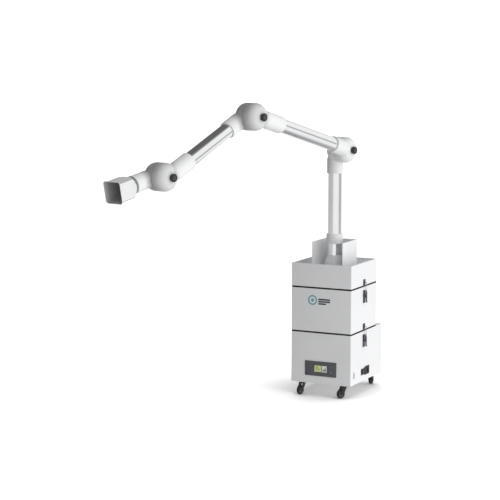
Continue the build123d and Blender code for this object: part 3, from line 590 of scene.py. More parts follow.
def row_tree(name, outline):
    """Row of parallel bars, each an outline run along X, tilted about its length."""
    tree, given, made = new_tree(name, [
        ("Count", "NodeSocketInt"), ("Pitch", "NodeSocketFloat"), ("Length", "NodeSocketFloat"),
        ("Depth", "NodeSocketFloat"), ("Thickness", "NodeSocketFloat"), ("Tilt", "NodeSocketFloat"),
        ("Finish", "NodeSocketMaterial")])
    step = tree.nodes.new("ShaderNodeCombineXYZ")
    row = tree.nodes.new("GeometryNodeMeshLine")
    end = tree.nodes.new("ShaderNodeCombineXYZ")
    line = tree.nodes.new("GeometryNodeCurvePrimitiveLine")
    bar = tree.nodes.new("GeometryNodeCurveToMesh")
    bar.inputs["Fill Caps"].default_value = True
    tilt = tree.nodes.new("ShaderNodeCombineXYZ")
    copies = tree.nodes.new("GeometryNodeInstanceOnPoints")
    tree.links.new(given.outputs["Pitch"], step.inputs["Y"])
    tree.links.new(given.outputs["Count"], row.inputs["Count"])
    tree.links.new(step.outputs["Vector"], row.inputs["Offset"])
    tree.links.new(given.outputs["Length"], end.inputs["X"])
    tree.links.new(end.outputs["Vector"], line.inputs["End"])
    tree.links.new(line.outputs["Curve"], bar.inputs["Curve"])
    tree.links.new(outline(tree, given), bar.inputs["Profile Curve"])
    tree.links.new(given.outputs["Tilt"], tilt.inputs["X"])
    tree.links.new(row.outputs["Mesh"], copies.inputs["Points"])
    tree.links.new(bar.outputs["Mesh"], copies.inputs["Instance"])
    tree.links.new(tilt.outputs["Vector"], copies.inputs["Rotation"])
    finish_tree(tree, given, made, copies.outputs["Instances"])
    return tree


screw_heads = screw_tree()
slats = row_tree("slats", flat_outline)
guard_wires = row_tree("guard wires", round_outline)


def head_object():
    """Pan head of radius 1 with a cross recess."""
    dome = [(0.0, 0.55)] + [(cos(radians(a)), 0.15 + 0.4 * sin(radians(a))) for a in range(80, -1, -16)]
    head = shown(lathe(dome + [(1.0, 0.0), (0.0, 0.0)], 20), "pan head", zinc)
    bar = prism([(-0.55, -0.1), (0.55, -0.1), (0.55, 0.1), (-0.55, 0.1)], 0.3, 0.8)
    cut(head, bar.copy())
    bar.transform(Matrix.Rotation(pi / 2, 4, "Z"))
    return cut(head, bar)


pan_head = head_object()


def corner_spots(place, half_x, half_y, level, facing):
    """Screw spots at the four corners of a plate that lies in the XY plane of its place."""
    ends = [(x, y) for x in (-half_x, half_x) for y in (-half_y, half_y)]
    return [(place @ Vector((x, y, level)), Vector(facing)) for x, y in ends]


def screws(name, spots, size, finish, body, slot, *nodes):
    """Screw heads at (point, facing) spots."""
    base = empty_base(name)
    base.data.from_pydata([spot for spot, facing in spots], [], [])
    facing = base.data.attributes.new("facing", "FLOAT_VECTOR", "POINT")
    facing.data.foreach_set("vector", [part for spot, way in spots for part in way])
    piece = grown(name, base, screw_heads, {"Head": pan_head, "Size": size, "Finish": finish})
    return fitted(piece, body, slot, *nodes)


# ---------------------------------------------------------------- cabinet modules
def folded_module(node, profile, bend=0.0018):
    """Sheet-metal module: a closed wall profile of (inset, height) carried round a rounded rectangle."""
    low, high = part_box(node)
    width, depth = high.x - low.x, high.y - low.y
    centre = Vector(((low.x + high.x) / 2, (low.y + high.y) / 2))
    rings = []
    for inset, level in fillet(profile, bend, 4):
        outline = rounded_rectangle(width - 2 * inset, depth - 2 * inset, max(CORNER - inset, 0.0006), 6)
        rings.append([(centre.x + x, centre.y + y, level) for x, y in outline])
    return skin(rings, closed_along=True)


def wall_profile(node, low_fold, high_fold):
    """Wall with an inward fold at its bottom and top, as (inset, height); a fold of 0 is left out."""
    low, high = span(node, 2)
    profile = [(0, low), (0, high), (high_fold, high), (high_fold, high - SHEET), (SHEET, high - SHEET)]
    if low_fold:
        profile += [(SHEET, low + SHEET), (low_fold, low + SHEET), (low_fold, low)]
    else:
        profile += [(SHEET, low)]
    return profile


side_x = span("base_housing", 0)[1]
front_y, back_y = span("base_housing", 1)
grille_low, grille_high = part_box("exhaust_grille")
outlet_centre = (grille_low + grille_high) / 2
outlet_w = grille_high.x - grille_low.x - 0.020
outlet_h = grille_high.z - grille_low.z - 0.020

FOLD = 0.016
PANEL_CUT = (0.150, 0.056)
INLET_Y, SWITCH_Y, PORT_Y = 0.044, -0.013, -0.134
SOCKET_CUTS = ((INLET_Y, 0.054, 0.036), (SWITCH_Y, 0.034, 0.024), (PORT_Y, 0.008, 0.026))


def wall_opening(piece, centre, width, height, facing):
    """Cuts a rectangle with small corners through a wall."""
    hole = prism(rounded_rectangle(width, height, 0.001), -0.01, 0.01)
    cut(piece, moved(hole, axes(centre, UP.cross(Vector(facing)), facing)))


def base_module():
    """Base module with its deck behind the filter module, and its openings."""
    deck_front = span("filter_housing", 1)[1] - FOLD
    deck_back = back_y - FOLD - 0.0002
    deck_top = span("base_housing", 2)[1]
    plate = prism(rounded_rectangle(2 * (side_x - FOLD - 0.0002), deck_back - deck_front, 0.0006),
                  -SHEET, 0)
    deck = moved(plate, Vector((0, (deck_front + deck_back) / 2, deck_top)))
    walls = folded_module("base_housing", wall_profile("base_housing", 0, FOLD))
    base = shown(joined(walls, deck), "base_module", coat)
    wall_opening(base, (outlet_centre.x, back_y, outlet_centre.z), outlet_w, outlet_h, (0, 1, 0))
    wall_opening(base, (0, front_y, sum(span("control_panel", 2)) / 2), *PANEL_CUT, (0, -1, 0))
    for y, width, height in SOCKET_CUTS:
        wall_opening(base, (side_x, y, joint_place("mains_rocker_tilt")[0].z), width, height, (1, 0, 0))
    fitted(base, "cabinet", "white_paint", "base_housing")


base_module()

filter_module = shown(folded_module("filter_housing", wall_profile("filter_housing", 0.026, 0.016)),
                      "filter_module", coat)
fitted(filter_module, "cabinet", "white_paint", "filter_housing")

top_module = shown(folded_module("top_housing", wall_profile("top_housing", 0.016, 0.010)), "top_module",
                   coat)
fitted(top_module, "cabinet", "white_paint", "top_housing")

GASKET_SHADOW_LAP = 0.0030       # how far each black gasket strip laps over the module walls' edges: painted shadow of the gap between modules
# Each strip is the real gasket plus a dark lap over the edge of each wall, which is painted shadow.
for node in ("gasket_lower", "gasket_upper"):
    low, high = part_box(node)
    low_shadow_lap, high_shadow_lap = low.z - GASKET_SHADOW_LAP, high.z + GASKET_SHADOW_LAP
    strip = [(-0.0002, low_shadow_lap), (-0.0016, low.z), (-0.0016, high.z), (-0.0002, high_shadow_lap),
             (-0.0002, high.z)]
    strip += [(0.014, high.z), (0.014, low.z), (-0.0002, low.z)]
    fit(folded_module(node, strip, 0.0005), node + "_strip", gasket, "cabinet", "gasket_rubber", node)


def back_screws():
    """Four screws in the back of the filter module."""
    filter_low, filter_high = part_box("filter_housing")
    spots = []
    for x in (-0.13, 0.13):
        for z in (filter_low.z + 0.03, filter_high.z - 0.03):
            spots.append((Vector((x, filter_high.y, z)), Vector((0, 1, 0))))
    screws("filter_module_screws", spots, 0.0035, zinc, "cabinet", "steel")


back_screws()


# ---------------------------------------------------------------- guard, foot, collar and tubes
GUARD_FOOT = 0.012        # width of the outward foot


def mast_guard():
    """Three-sided bent guard with an outward foot."""
    low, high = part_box("mast_guard")
    wall_low, wall_high = low.x + GUARD_FOOT, high.x - GUARD_FOOT
    back = high.y - GUARD_FOOT
    front = -back
    outer = [(wall_low, front), (wall_low, back), (wall_high, back), (wall_high, front)]
    inner = [(wall_high - SHEET, front), (wall_high - SHEET, back - SHEET),
             (wall_low + SHEET, back - SHEET), (wall_low + SHEET, front)]
    bend = 0.004
    path = fillet(outer, bend, 6, closed=False) + fillet(inner, bend - SHEET, 6, closed=False)
    wall = prism(path, low.z, high.z)
    foot_outer = [(low.x, front), (low.x, high.y), (high.x, high.y), (high.x, front)]
    foot_path = fillet(foot_outer, 0.006, 4, closed=False) + fillet(inner, bend - SHEET, 6, closed=False)
    foot = prism(foot_path, low.z, low.z + SHEET)
    piece = soften(shown(joined(wall, foot), "mast_guard_sheet", coat), 0.0006, 2)
    fitted(piece, "cabinet", "white_paint", "mast_guard")
    spots = []
    for y in (front + 0.02, 0.0, back - 0.02):
        for x in (low.x + GUARD_FOOT / 2, high.x - GUARD_FOOT / 2):
            spots.append((Vector((x, y, low.z + SHEET)), UP))
    for x in (-0.05, 0.05):
        spots.append((Vector((x, high.y - GUARD_FOOT / 2, low.z + SHEET)), UP))
    screws("guard_screws", spots, 0.0032, zinc, "cabinet", "steel")


mast_guard()

foot_low, foot_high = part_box("mast_foot")
FLANGE_R = foot_high.x
FLANGE_T = 0.005
NECK_R = 0.052


def mast_foot():
    """Flared foot with a bolted flange and a bead where the tube goes in."""
    flare = []
    for step in range(13):
        share = step / 12
        blend = share * share * (3 - 2 * share)
        radius = NECK_R + (TUBE_R + 0.003 - NECK_R) * blend
        flare.append((radius, foot_low.z + 0.046 + (foot_high.z - foot_low.z - 0.046) * share))
    profile = [(TUBE_R + 0.0002, foot_low.z), (FLANGE_R, foot_low.z)]
    profile += quarter_arc((FLANGE_R - 0.0015, foot_low.z + FLANGE_T - 0.0015), 0.0015, 0.0015, 0, 4)
    profile += [(NECK_R + 0.004, foot_low.z + FLANGE_T),
                (NECK_R + 0.0012, foot_low.z + FLANGE_T + 0.0012)]
    profile += [(NECK_R, foot_low.z + FLANGE_T + 0.004)]
    profile += flare + [(TUBE_R + 0.0015, foot_high.z + 0.001), (TUBE_R + 0.0002, foot_high.z)]
    fit(lathe(profile, 96, closed=True), "mast_foot_flare", shell_white, "cabinet", "white_plastic",
        "mast_foot")
    ring = (FLANGE_R + NECK_R) / 2
    spots = []
    for step in range(6):
        angle = step * pi / 3
        spots.append((Vector((ring * cos(angle), ring * sin(angle), foot_low.z + FLANGE_T)), UP))
    screws("foot_screws", spots, 0.0045, zinc, "cabinet", "steel")


mast_foot()

collar_low, collar_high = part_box("mast_collar")


def mast_collar():
    """Swivel collar: two bands with a groove between them, and a dust lip on top."""
    low, high = collar_low.z, collar_high.z
    radius = collar_high.x
    groove = low + 0.028
    bore = TUBE_R + 0.0003
    band = [(bore, low), (radius - 0.0025, low)]
    band += quarter_arc((radius - 0.0025, low + 0.0025), 0.0025, 0.0025, -90, 5)
    band += [(radius, groove - 0.0015), (radius - 0.0012, groove - 0.0008),
             (radius - 0.0012, groove + 0.0008)]
    band += [(radius, groove + 0.0015)]
    band += quarter_arc((radius - 0.003, high - 0.004), 0.003, 0.003, 0, 5)
    band += [(TUBE_R + 0.0022, high - 0.001), (bore, high)]
    fit(lathe(band, 96, closed=True), "mast_collar_bands", shell_white, "cabinet", "white_plastic",
        "mast_collar")
    spots = []
    for step in range(3):
        angle = radians(-63 + 120 * step)
        way = Vector((cos(angle), sin(angle), 0))
        spots.append((way * (radius - 0.0008) + UP * (low + 0.014), way))
    screws("collar_screws", spots, 0.0030, zinc, "cabinet", "steel")


mast_collar()


def duct_tube(node, start, direction, length, finish, body):
    """Thin-walled tube with rolled ends."""
    lip = TUBE_WALL / 2
    profile = [(TUBE_R - TUBE_WALL, lip), (TUBE_R - lip, 0), (TUBE_R, lip), (TUBE_R, length - lip)]
    profile += [(TUBE_R - lip, length), (TUBE_R - TUBE_WALL, length - lip)]
    tube = moved(lathe(profile, 96, closed=True), axes(start, pivot, direction))
    fit(tube, node + "_polished", finish, body, "polished_aluminium", node)


def reach_of(node, axis_point, direction):
    """Nearest and farthest distance of a CAD node from a point, along a direction."""
    reach = [(vertex.co - axis_point).dot(direction) for vertex in frame["nodes"][node].data.vertices]
    return min(reach), max(reach)


for node, axis_point, direction, finish, body in (
    ("mast_lower_tube", Vector((0, 0, 0)), UP, mast_polish, "cabinet"),
    ("mast_tube", Vector((0, 0, 0)), UP, mast_polish, "mast"),
    ("boom_tube", boom_axis, boom_dir, boom_polish, "boom"),
    ("forearm_tube", forearm_axis, forearm_dir, forearm_polish, "forearm"),
):
    painted_contact_shadow, far = reach_of(node, axis_point, direction)
    duct_tube(node, axis_point + direction * painted_contact_shadow, direction, far - painted_contact_shadow, finish, body)


# ---------------------------------------------------------------- arm joints
SHELL_END = 0.100         # where the moulded blend hands over to the plain cuff
VOXEL = 0.0015
CUFF_DOME = KNOB_R + 0.0025 + sqrt(CUFF_R**2 - (DRUM_TOP - TUBE_OFFSET) ** 2)


def joint_form():
    """Domed drum blended into its cuff: X runs along the cuff and Z out from the seam."""
    below = -0.012
    dome = [(0, DRUM_TOP)]
    dome += list(reversed(quarter_arc((DRUM_FLAT, DRUM_BAND), DRUM_R - DRUM_FLAT, DRUM_TOP - DRUM_BAND,
                                      0, 20)))
    dome += [(DRUM_R, below), (0, below)]
    drum = lathe(dome, 128)
    nose = [(CUFF_R * cos(radians(a)), CUFF_DOME - CUFF_R * sin(radians(a))) for a in range(90, -1, -6)]
    cuff = lathe(nose + [(CUFF_R, SHELL_END + 0.02), (0, SHELL_END + 0.02)], 96)
    cuff.transform(axes((0, 0, TUBE_OFFSET), (0, 1, 0), (1, 0, 0)))
    form = shown(joined(drum, cuff), "joint_form", shell_white)
    mould = form.modifiers.new("mould", "REMESH")
    mould.mode = "VOXEL"
    mould.voxel_size = VOXEL
    flow = form.modifiers.new("flow", "SMOOTH")
    flow.factor = 0.5
    flow.iterations = 20
    solid = taken(settle(form))
    for point, normal in (((0, 0, SEAM_GAP), (0, 0, -1)), ((SHELL_END, 0, 0), (1, 0, 0))):
        everything = solid.verts[:] + solid.edges[:] + solid.faces[:]
        sliced = bmesh.ops.bisect_plane(solid, geom=everything, plane_co=point, plane_no=normal,
                                        clear_outer=True)
        rim = [part for part in sliced["geom_cut"] if isinstance(part, bmesh.types.BMEdge)]
        bmesh.ops.edgeloop_fill(solid, edges=rim)
    return solid


def cuff_sleeve(length):
    """Plain stretch of a cuff from the moulded blend to its rounded end, along Z."""
    bore = TUBE_R + 0.0003
    outer = CUFF_R - 0.0001
    lip = 0.0022
    step = length - 0.013
    profile = [(bore, SHELL_END), (outer, SHELL_END), (outer, step), (outer - 0.0007, step + 0.0006)]
    profile += [(outer - 0.0007, step + 0.0018), (outer, step + 0.0024)]
    profile += quarter_arc((outer - lip, length - lip), lip, lip, 0, 5)
    profile += [(bore + 0.0008, length), (bore, length - 0.0008)]
    return lathe(profile, 96, closed=True)


moulded_joint = joint_form()


def joint_shell(node, centre, outward, toward, body, finish):
    """One half of an arm joint."""
    cuff_axis = centre + outward * TUBE_OFFSET
    length = reach_of(node, cuff_axis, toward)[1]
    half = moved(moulded_joint.copy(), axes(centre, toward, outward))
    sleeve = moved(cuff_sleeve(length), axes(cuff_axis, outward, toward))
    fit(joined(half, sleeve), node + "_shell", finish, body, "white_plastic", node)


joint_shell("shoulder_inner", shoulder, -pivot, -UP, "mast", shell_white)
joint_shell("shoulder_outer", shoulder, pivot, boom_dir, "boom", shell_white)
joint_shell("elbow_outer", elbow, pivot, -boom_dir, "boom", elbow_shaded_shell)
joint_shell("elbow_inner", elbow, -pivot, forearm_dir, "forearm", elbow_shaded_shell)
joint_shell("wrist_outer", wrist, pivot, -forearm_dir, "forearm", wrist_shaded_shell)
joint_shell("wrist_inner", wrist, -pivot, hood_dir, "wrist", wrist_shaded_shell)
moulded_joint.free()


def friction_ring(name, centre, body):
    """Ring between the two halves of a joint, just inside their edges."""
    half = SEAM_GAP - 0.0001
    profile = [(0.052, -half), (DRUM_R - 0.002, -half), (DRUM_R - 0.0014, 0), (DRUM_R - 0.002, half),
               (0.052, half)]
    ring = moved(lathe(profile, 96, closed=True), axes(centre, UP, pivot))
    fit(ring, name, seam_rubber, body, "gasket_rubber")


CAP_SOCKET_R = 0.0045


def bolt_cap(node, centre, body):
    """Domed cap over the clamp bolt's head, with a hexagon recess."""
    radius, height = 0.0125, 0.006
    edge = quarter_arc((radius - 0.004, height - 0.004), 0.004, 0.004, 0, 6)
    profile = [(0, height)] + list(reversed(edge))
    profile += [(radius, 0.0003), (0, 0.0003)]
    place = axes(centre - pivot * DRUM_TOP, UP, -pivot)
    cap = shown(moved(lathe(profile, 48), place), node + "_cap", cap_grey)
    cut(cap, moved(prism(circle(CAP_SOCKET_R, 6), height - 0.003, height + 0.004), place))
    fitted(cap, body, "steel", node)


def friction_knob(node, centre):
    """Eight-lobed knob with a skirt, a rolled rim and a set-in cap."""
    lobes, steps = 8, 128
    profile = [(0.80, 0.0), (0.86, 0.0), (0.90, 0.0012), (0.90, 0.0035), (0.97, 0.0050), (1.0, 0.0066)]
    profile += [(1.0, KNOB_H - 0.0036), (0.985, KNOB_H - 0.0018), (0.94, KNOB_H - 0.0005),
                (0.86, KNOB_H)]
    profile += [(0.66, KNOB_H), (0.63, KNOB_H - 0.0012)]
    rings = []
    for share, height in profile:
        ring = []
        scallop = 0.085 if 0.9 < share else 0.04 if share > 0.7 else 0.0
        for step in range(steps):
            turn = 2 * pi * step / steps
            dip = scallop * (0.5 - 0.5 * cos(lobes * turn)) ** 2
            radius = KNOB_R * (share - dip)
            ring.append((radius * cos(turn), radius * sin(turn), height))
        rings.append(ring)
    place = axes(centre + pivot * (DRUM_TOP + 0.0005), UP, pivot)
    fitted(shown(moved(skin(rings), place), node + "_grip", knob_black, 50), node, "black_plastic", node)
    cap_r = KNOB_R * 0.61
    dome = [(0, KNOB_H + 0.0004), (cap_r * 0.5, KNOB_H + 0.0002), (cap_r * 0.86, KNOB_H - 0.0004)]
    dome += [(cap_r, KNOB_H - 0.0011), (cap_r, KNOB_H - 0.0030), (0, KNOB_H - 0.0030)]
    fit(moved(lathe(dome, 48), place), node + "_cap", cap_grey, node, "black_plastic")


for joint_name, centre, body in (("shoulder", shoulder, "mast"), ("elbow", elbow, "forearm"),
                                 ("wrist", wrist, "wrist")):
    friction_ring(joint_name + "_friction_ring", centre, body)
    bolt_cap(joint_name + "_bolt", centre, body)
    friction_knob(joint_name + "_knob", centre)


# ---------------------------------------------------------------- hood
def hood_reach(node):
    """Nearest and farthest distance of a CAD node from the wrist, along the hood."""
    return reach_of(node, hood_axis, hood_dir)


HOOD_BACK, HOOD_END = hood_reach("hood")
HOOD_HALF = 0.050
HOOD_WALL = 0.003
HOOD_LIP = 0.005
LIP_LEN = 0.012           # length of the flare at the mouth
DOME_LEN = 0.030
BACK_HALF = 0.0415
HOOD_CORNER = 0.013


def hood_section(distance, inset):
    """Section of the hood: round at the back, a rounded square past its dome, flared at the mouth."""
    along = distance - HOOD_BACK
    share = min(max(along / DOME_LEN, 0), 1)
    half = BACK_HALF + (HOOD_HALF - BACK_HALF) * sqrt(1 - (1 - share) ** 2)
    corner = half + (HOOD_CORNER - half) * share * share * (3 - 2 * share)
    flare = min(max((distance - (HOOD_END - LIP_LEN)) / LIP_LEN, 0), 1)
    half += HOOD_LIP * flare - inset
    corner = max(corner + 0.002 * flare - inset, 0.004)
    outline = rounded_rectangle(2 * half, 2 * half, min(corner, half - 1e-5), 12)
    return [(x, y, distance) for x, y in outline]


def circle_ring(radius, distance):
    """Ring with as many points as a hood section, starting at the same corner."""
    return [(x, y, distance) for x, y in rounded_rectangle(2 * radius, 2 * radius, radius - 1e-6, 12)]


def is_inner(point):
    """Whether a point of the hood's skin is nearer the inside than the outside."""
    edge = max(abs(x) for x, y, z in hood_section(point.z, HOOD_WALL / 2))
    return max(abs(point.x), abs(point.y)) < edge


def hood_body():
    """Thin moulded hood, open at the mouth and round its spigot, with painted shade on its inside."""
    dome_steps = [HOOD_BACK + DOME_LEN * (1 - cos(radians(a))) for a in range(0, 91, 9)]
    straight = [HOOD_BACK + DOME_LEN + 0.02, HOOD_END - LIP_LEN - 0.02]
    lip = [HOOD_END - LIP_LEN * (1 - k / 6) for k in range(6)]
    outer = dome_steps + straight + lip
    rim = HOOD_WALL / 2
    rings = [circle_ring(TUBE_R + 0.0002, HOOD_BACK), circle_ring(BACK_HALF - 0.001, HOOD_BACK)]
    rings += [hood_section(distance, 0) for distance in outer[1:]]
    rings += [hood_section(HOOD_END - 0.0006, 0), hood_section(HOOD_END, rim * 0.5),
              hood_section(HOOD_END, rim * 1.5)]
    rings += [hood_section(HOOD_END - 0.0006, HOOD_WALL)]
    inner = [distance for distance in reversed(outer) if distance > HOOD_BACK + 2 * HOOD_WALL]
    rings += [hood_section(distance, HOOD_WALL) for distance in inner]
    rings += [circle_ring(TUBE_R + 0.0002, HOOD_BACK + HOOD_WALL)]
    solid = skin(rings, closed_along=True)
    # Faces inside the hood take the darker grey: painted shade in the hollow of the hood.
    for face in solid.faces:
        middle = face.calc_center_median()
        if HOOD_BACK + HOOD_WALL / 2 < middle.z < HOOD_END - 0.002 and is_inner(middle):
            face.material_index = 1
    shell = shown(moved(solid, axes(hood_axis, pivot, hood_dir)), "hood_shell", hood_white)
    shell.data.materials.append(hood_inside_painted_shade)
    fitted(shell, "hood", "white_plastic", "hood")


hood_body()


def hood_swivel():
    """Spigot that turns in the wrist's cuff, with its locking ring against the back of the hood."""
    painted_contact_shadow, far = hood_reach("hood_spigot")
    bore = TUBE_R - TUBE_WALL
    ring_r = CUFF_R + 0.0012
    start = hood_reach("wrist_inner")[1] + 0.001
    profile = [(bore, painted_contact_shadow), (TUBE_R - 0.0005, painted_contact_shadow), (TUBE_R - 0.0005, start), (ring_r - 0.001, start)]
    profile += [(ring_r, start + 0.001), (ring_r, HOOD_BACK - 0.0035),
                (ring_r - 0.0015, HOOD_BACK - 0.002)]
    profile += [(ring_r - 0.0040, HOOD_BACK - 0.002), (ring_r - 0.0040, HOOD_BACK - 0.0003)]
    profile += [(TUBE_R, HOOD_BACK - 0.0003), (TUBE_R, far), (bore, far)]
    place = axes(hood_axis, pivot, hood_dir)
    fit(moved(lathe(profile, 96, closed=True), place), "hood_swivel_ring", swivel_grey, "hood",
        "black_plastic", "hood_spigot")


hood_swivel()


def hood_guard():
    """Woven wire guard across the hood, in a thin frame."""
    depth = sum(hood_reach("hood_mesh")) / 2
    inside = HOOD_HALF - HOOD_WALL
    count, wire_r = 14, 0.0007
    pitch = 2 * inside / (count + 1)
    values = {"Count": count, "Pitch": pitch, "Length": 2 * inside - 0.001, "Thickness": wire_r,
              "Finish": wire_coat}
    corner = Matrix.Translation((-inside + 0.0005, -inside + pitch, -wire_r * 0.8))
    across = grown("across", empty_base("across"), guard_wires, values, corner)
    along = grown("along", empty_base("along"), guard_wires, values,
                  Matrix.Rotation(pi / 2, 4, "Z") @ Matrix.Translation((0, 0, wire_r * 1.6)) @ corner)
    rim = frame_plate(rounded_rectangle(2 * inside - 0.0004, 2 * inside - 0.0004, 0.009),
                      rounded_rectangle(2 * inside - 0.007, 2 * inside - 0.007, 0.006), -0.0016, 0.0016)
    place = axes(hood_axis + hood_dir * depth, pivot, hood_dir)
    fit(moved(joined(taken(across), taken(along), rim), place), "hood_wire_guard", wire_coat, "hood",
        "dark_mesh", "hood_mesh")


hood_guard()


# ---------------------------------------------------------------- control panel
panel_low, panel_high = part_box("control_panel")
panel_centre = Vector((0, front_y, (panel_low.z + panel_high.z) / 2))
panel_place = axes(panel_centre, (1, 0, 0), (0, -1, 0))
PANEL_W = panel_high.x - panel_low.x
PANEL_H = panel_high.z - panel_low.z
PANEL_T = front_y - panel_low.y
SCREEN_W, SCREEN_H = 0.074, 0.038
BUTTON_HOLE_R = 0.0063


def level_rings(levels, steps=6):
    """Rings of rounded rectangles given as (width, height, radius, level)."""
    return [[(x, y, z) for x, y in rounded_rectangle(w, h, r, steps)] for w, h, r, z in levels]


def control_panel():
    """Panel plate with a pocket for the display and a raised bead round it."""
    edge = 0.0008
    levels = [
        (PANEL_W, PANEL_H, 0.004, 0.0),
        (PANEL_W, PANEL_H, 0.004, PANEL_T - edge),
        (PANEL_W - edge, PANEL_H - edge, 0.0036, PANEL_T - 0.3 * edge),
        (PANEL_W - 2 * edge, PANEL_H - 2 * edge, 0.0032, PANEL_T),
        (SCREEN_W + 0.008, SCREEN_H + 0.008, 0.005, PANEL_T),
        (SCREEN_W + 0.0072, SCREEN_H + 0.0072, 0.0046, PANEL_T + 0.0008),
        (SCREEN_W + 0.0040, SCREEN_H + 0.0040, 0.0034, PANEL_T + 0.0008),
        (SCREEN_W + 0.0010, SCREEN_H + 0.0010, 0.0020, PANEL_T - 0.0008),
        (SCREEN_W, SCREEN_H, 0.0016, PANEL_T - 0.002),
    ]
    panel = shown(moved(skin(level_rings(levels)), panel_place), "control_panel_plate", panel_grey)
    for number in (1, 2):
        low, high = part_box(f"panel_button_{number}")
        spot = Vector(((low.x + high.x) / 2, front_y, (low.z + high.z) / 2))
        place = axes(spot, (1, 0, 0), (0, -1, 0))
        cut(panel, moved(prism(circle(BUTTON_HOLE_R), -SHEET, PANEL_T + SHEET), place))
        radius = (high.x - low.x) / 2
        crown = PANEL_T + 0.0015
        cap = [(0, crown - 0.0004), (radius * 0.55, crown - 0.0002), (radius * 0.8, crown)]
        cap += list(reversed(quarter_arc((radius - 0.001, crown - 0.001), 0.001, 0.001, 0, 4)))
        cap += [(radius, 0.001), (0, 0.001)]
        fit(moved(lathe(cap, 48), place), f"panel_button_{number}_cap", button_grey, f"button_{number}",
            "button_plastic", f"panel_button_{number}")
    fitted(panel, "cabinet", "panel_plastic", "control_panel")
    spots = corner_spots(panel_place, PANEL_W / 2 - 0.007, PANEL_H / 2 - 0.007, PANEL_T, (0, -1, 0))
    screws("panel_screws", spots, 0.0030, cap_grey, "cabinet", "steel", "screws")


control_panel()

SEGMENTS = {
    "a": (0, 1, 0), "b": (0.5, 0.5, 1), "c": (0.5, -0.5, 1), "d": (0, -1, 0),
    "e": (-0.5, -0.5, 1), "f": (-0.5, 0.5, 1), "g": (0, 0, 0),
}
DIGITS = {"5": "acdfg", "8": "abcdefg"}


def digit(shape, x, y, height):
    """Seven-segment digit: each bar is a flat hexagon."""
    bars = []
    width = height * 0.52
    half, thick = width * 0.40, height * 0.055
    for name in DIGITS[shape]:
        cx, cy, upright = SEGMENTS[name]
        reach = half if not upright else height * 0.20
        outline = [(-reach, 0), (-reach + thick, thick), (reach - thick, thick), (reach, 0),
                   (reach - thick, -thick), (-reach + thick, -thick)]
        bar = prism(outline, PANEL_T - 0.0014, PANEL_T - 0.0011)
        turn = Matrix.Rotation(pi / 2 if upright else 0, 4, "Z")
        bars.append(moved(bar, Matrix.Translation((x + cx * width, y + cy * height / 2, 0)) @ turn))
    return joined(*bars)


def display():
    """Display with a number field on the left and level bars on the right, under a clear cover."""
    level = PANEL_T - 0.002
    split = 0.001
    left_w = SCREEN_W * 0.56
    right_w = SCREEN_W - left_w - split
    for side, width, name, finish in ((-1, left_w, "display_number_field", screen_green),
                                      (1, right_w, "display_level_field", screen_grey)):
        field = prism(rounded_rectangle(width - 0.002, SCREEN_H - 0.003, 0.0012), level, level + 0.0005)
        field = moved(field, Vector((side * (SCREEN_W - width) / 2, 0, 0)))
        fit(moved(field, panel_place), name, finish, "cabinet", "display_glass")
    marks = [digit("8", -0.0265, 0.001, 0.020), digit("5", -0.0125, 0.001, 0.020)]
    for step in range(5):
        tall = 0.004 + 0.0032 * step
        x = 0.0105 + 0.0048 * step
        bar = [(x - 0.0014, -0.011), (x + 0.0014, -0.011), (x + 0.0014, -0.011 + tall),
               (x - 0.0014, -0.011 + tall)]
        marks.append(prism(bar, PANEL_T - 0.0014, PANEL_T - 0.0011))
    fit(moved(joined(*marks), panel_place), "display_marks", mark_dark, "cabinet", "display_glass")
    cover = moved(prism(rounded_rectangle(SCREEN_W - 0.0006, SCREEN_H - 0.0006, 0.0014),
                        PANEL_T - 0.0009, PANEL_T - 0.0003),
                  panel_place)
    fit(cover, "display_cover", window_clear, "cabinet", "display_glass", "display_window")


display()


def status_lamps():
    """Three unlit lamps and their raised ticks, left of the display."""
    lamps, ticks = [], []
    for step in range(3):
        y = 0.014 * (1 - step)
        dome = [(0, 0.0014)] + list(reversed(quarter_arc((0.0, 0.0), 0.0020, 0.0014, 0, 5))) + [(0, 0)]
        lamps.append(moved(lathe(dome, 24), Vector((-0.068, y, PANEL_T - 0.0001))))
        ticks.append(moved(prism(rounded_rectangle(0.010, 0.0012, 0.0005, 3), PANEL_T,
                                 PANEL_T + 0.00015),
                           Vector((-0.056, y, 0))))
    fit(moved(joined(*lamps), panel_place), "status_lamps", lamp_off, "cabinet", "display_glass")
    fit(moved(joined(*ticks), panel_place), "status_ticks", button_grey, "cabinet", "panel_plastic")


status_lamps()


MARK_DROP = 0.063         # from the top of the filter module
MARK_X = -0.050
MARK_RADII = (0.027, 0.019, 0.009)
BAR_START = -0.017
BAR_WIDTHS = (0.070, 0.070, 0.046)


def module_mark():
    """Plain printed mark on the filter module: a ring with a dot, and three bars beside it."""
    low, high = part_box("filter_housing")
    place = axes((0, low.y, high.z - MARK_DROP), (1, 0, 0), (0, -1, 0))
    ink = 0.0002
    rings = [circle(radius) for radius in MARK_RADII]
    ring = moved(joined(frame_plate(rings[0], rings[1], 0, ink), prism(rings[2], 0, ink)),
                 Vector((MARK_X, 0, 0)))
    fit(moved(ring, place), "module_mark_ring", mark_teal, "cabinet", "white_paint")
    bars = []
    for step, width in enumerate(BAR_WIDTHS):
        bar = prism(rounded_rectangle(width, 0.0085, 0.0040, 5), 0, ink)
        bars.append(moved(bar, Vector((BAR_START + width / 2, 0.006 - 0.0120 * step, 0))))
    fit(moved(joined(*bars), place), "module_mark_bars", mark_dark, "cabinet", "white_paint")


module_mark()


# ---------------------------------------------------------------- mains inlet, switch and remote port
socket_place = axes((side_x, 0, 0), (0, 1, 0), (1, 0, 0))
rocker_spot = joint_place("mains_rocker_tilt")[0]
SOCKET_Z = rocker_spot.z
BEZEL_T = 0.003


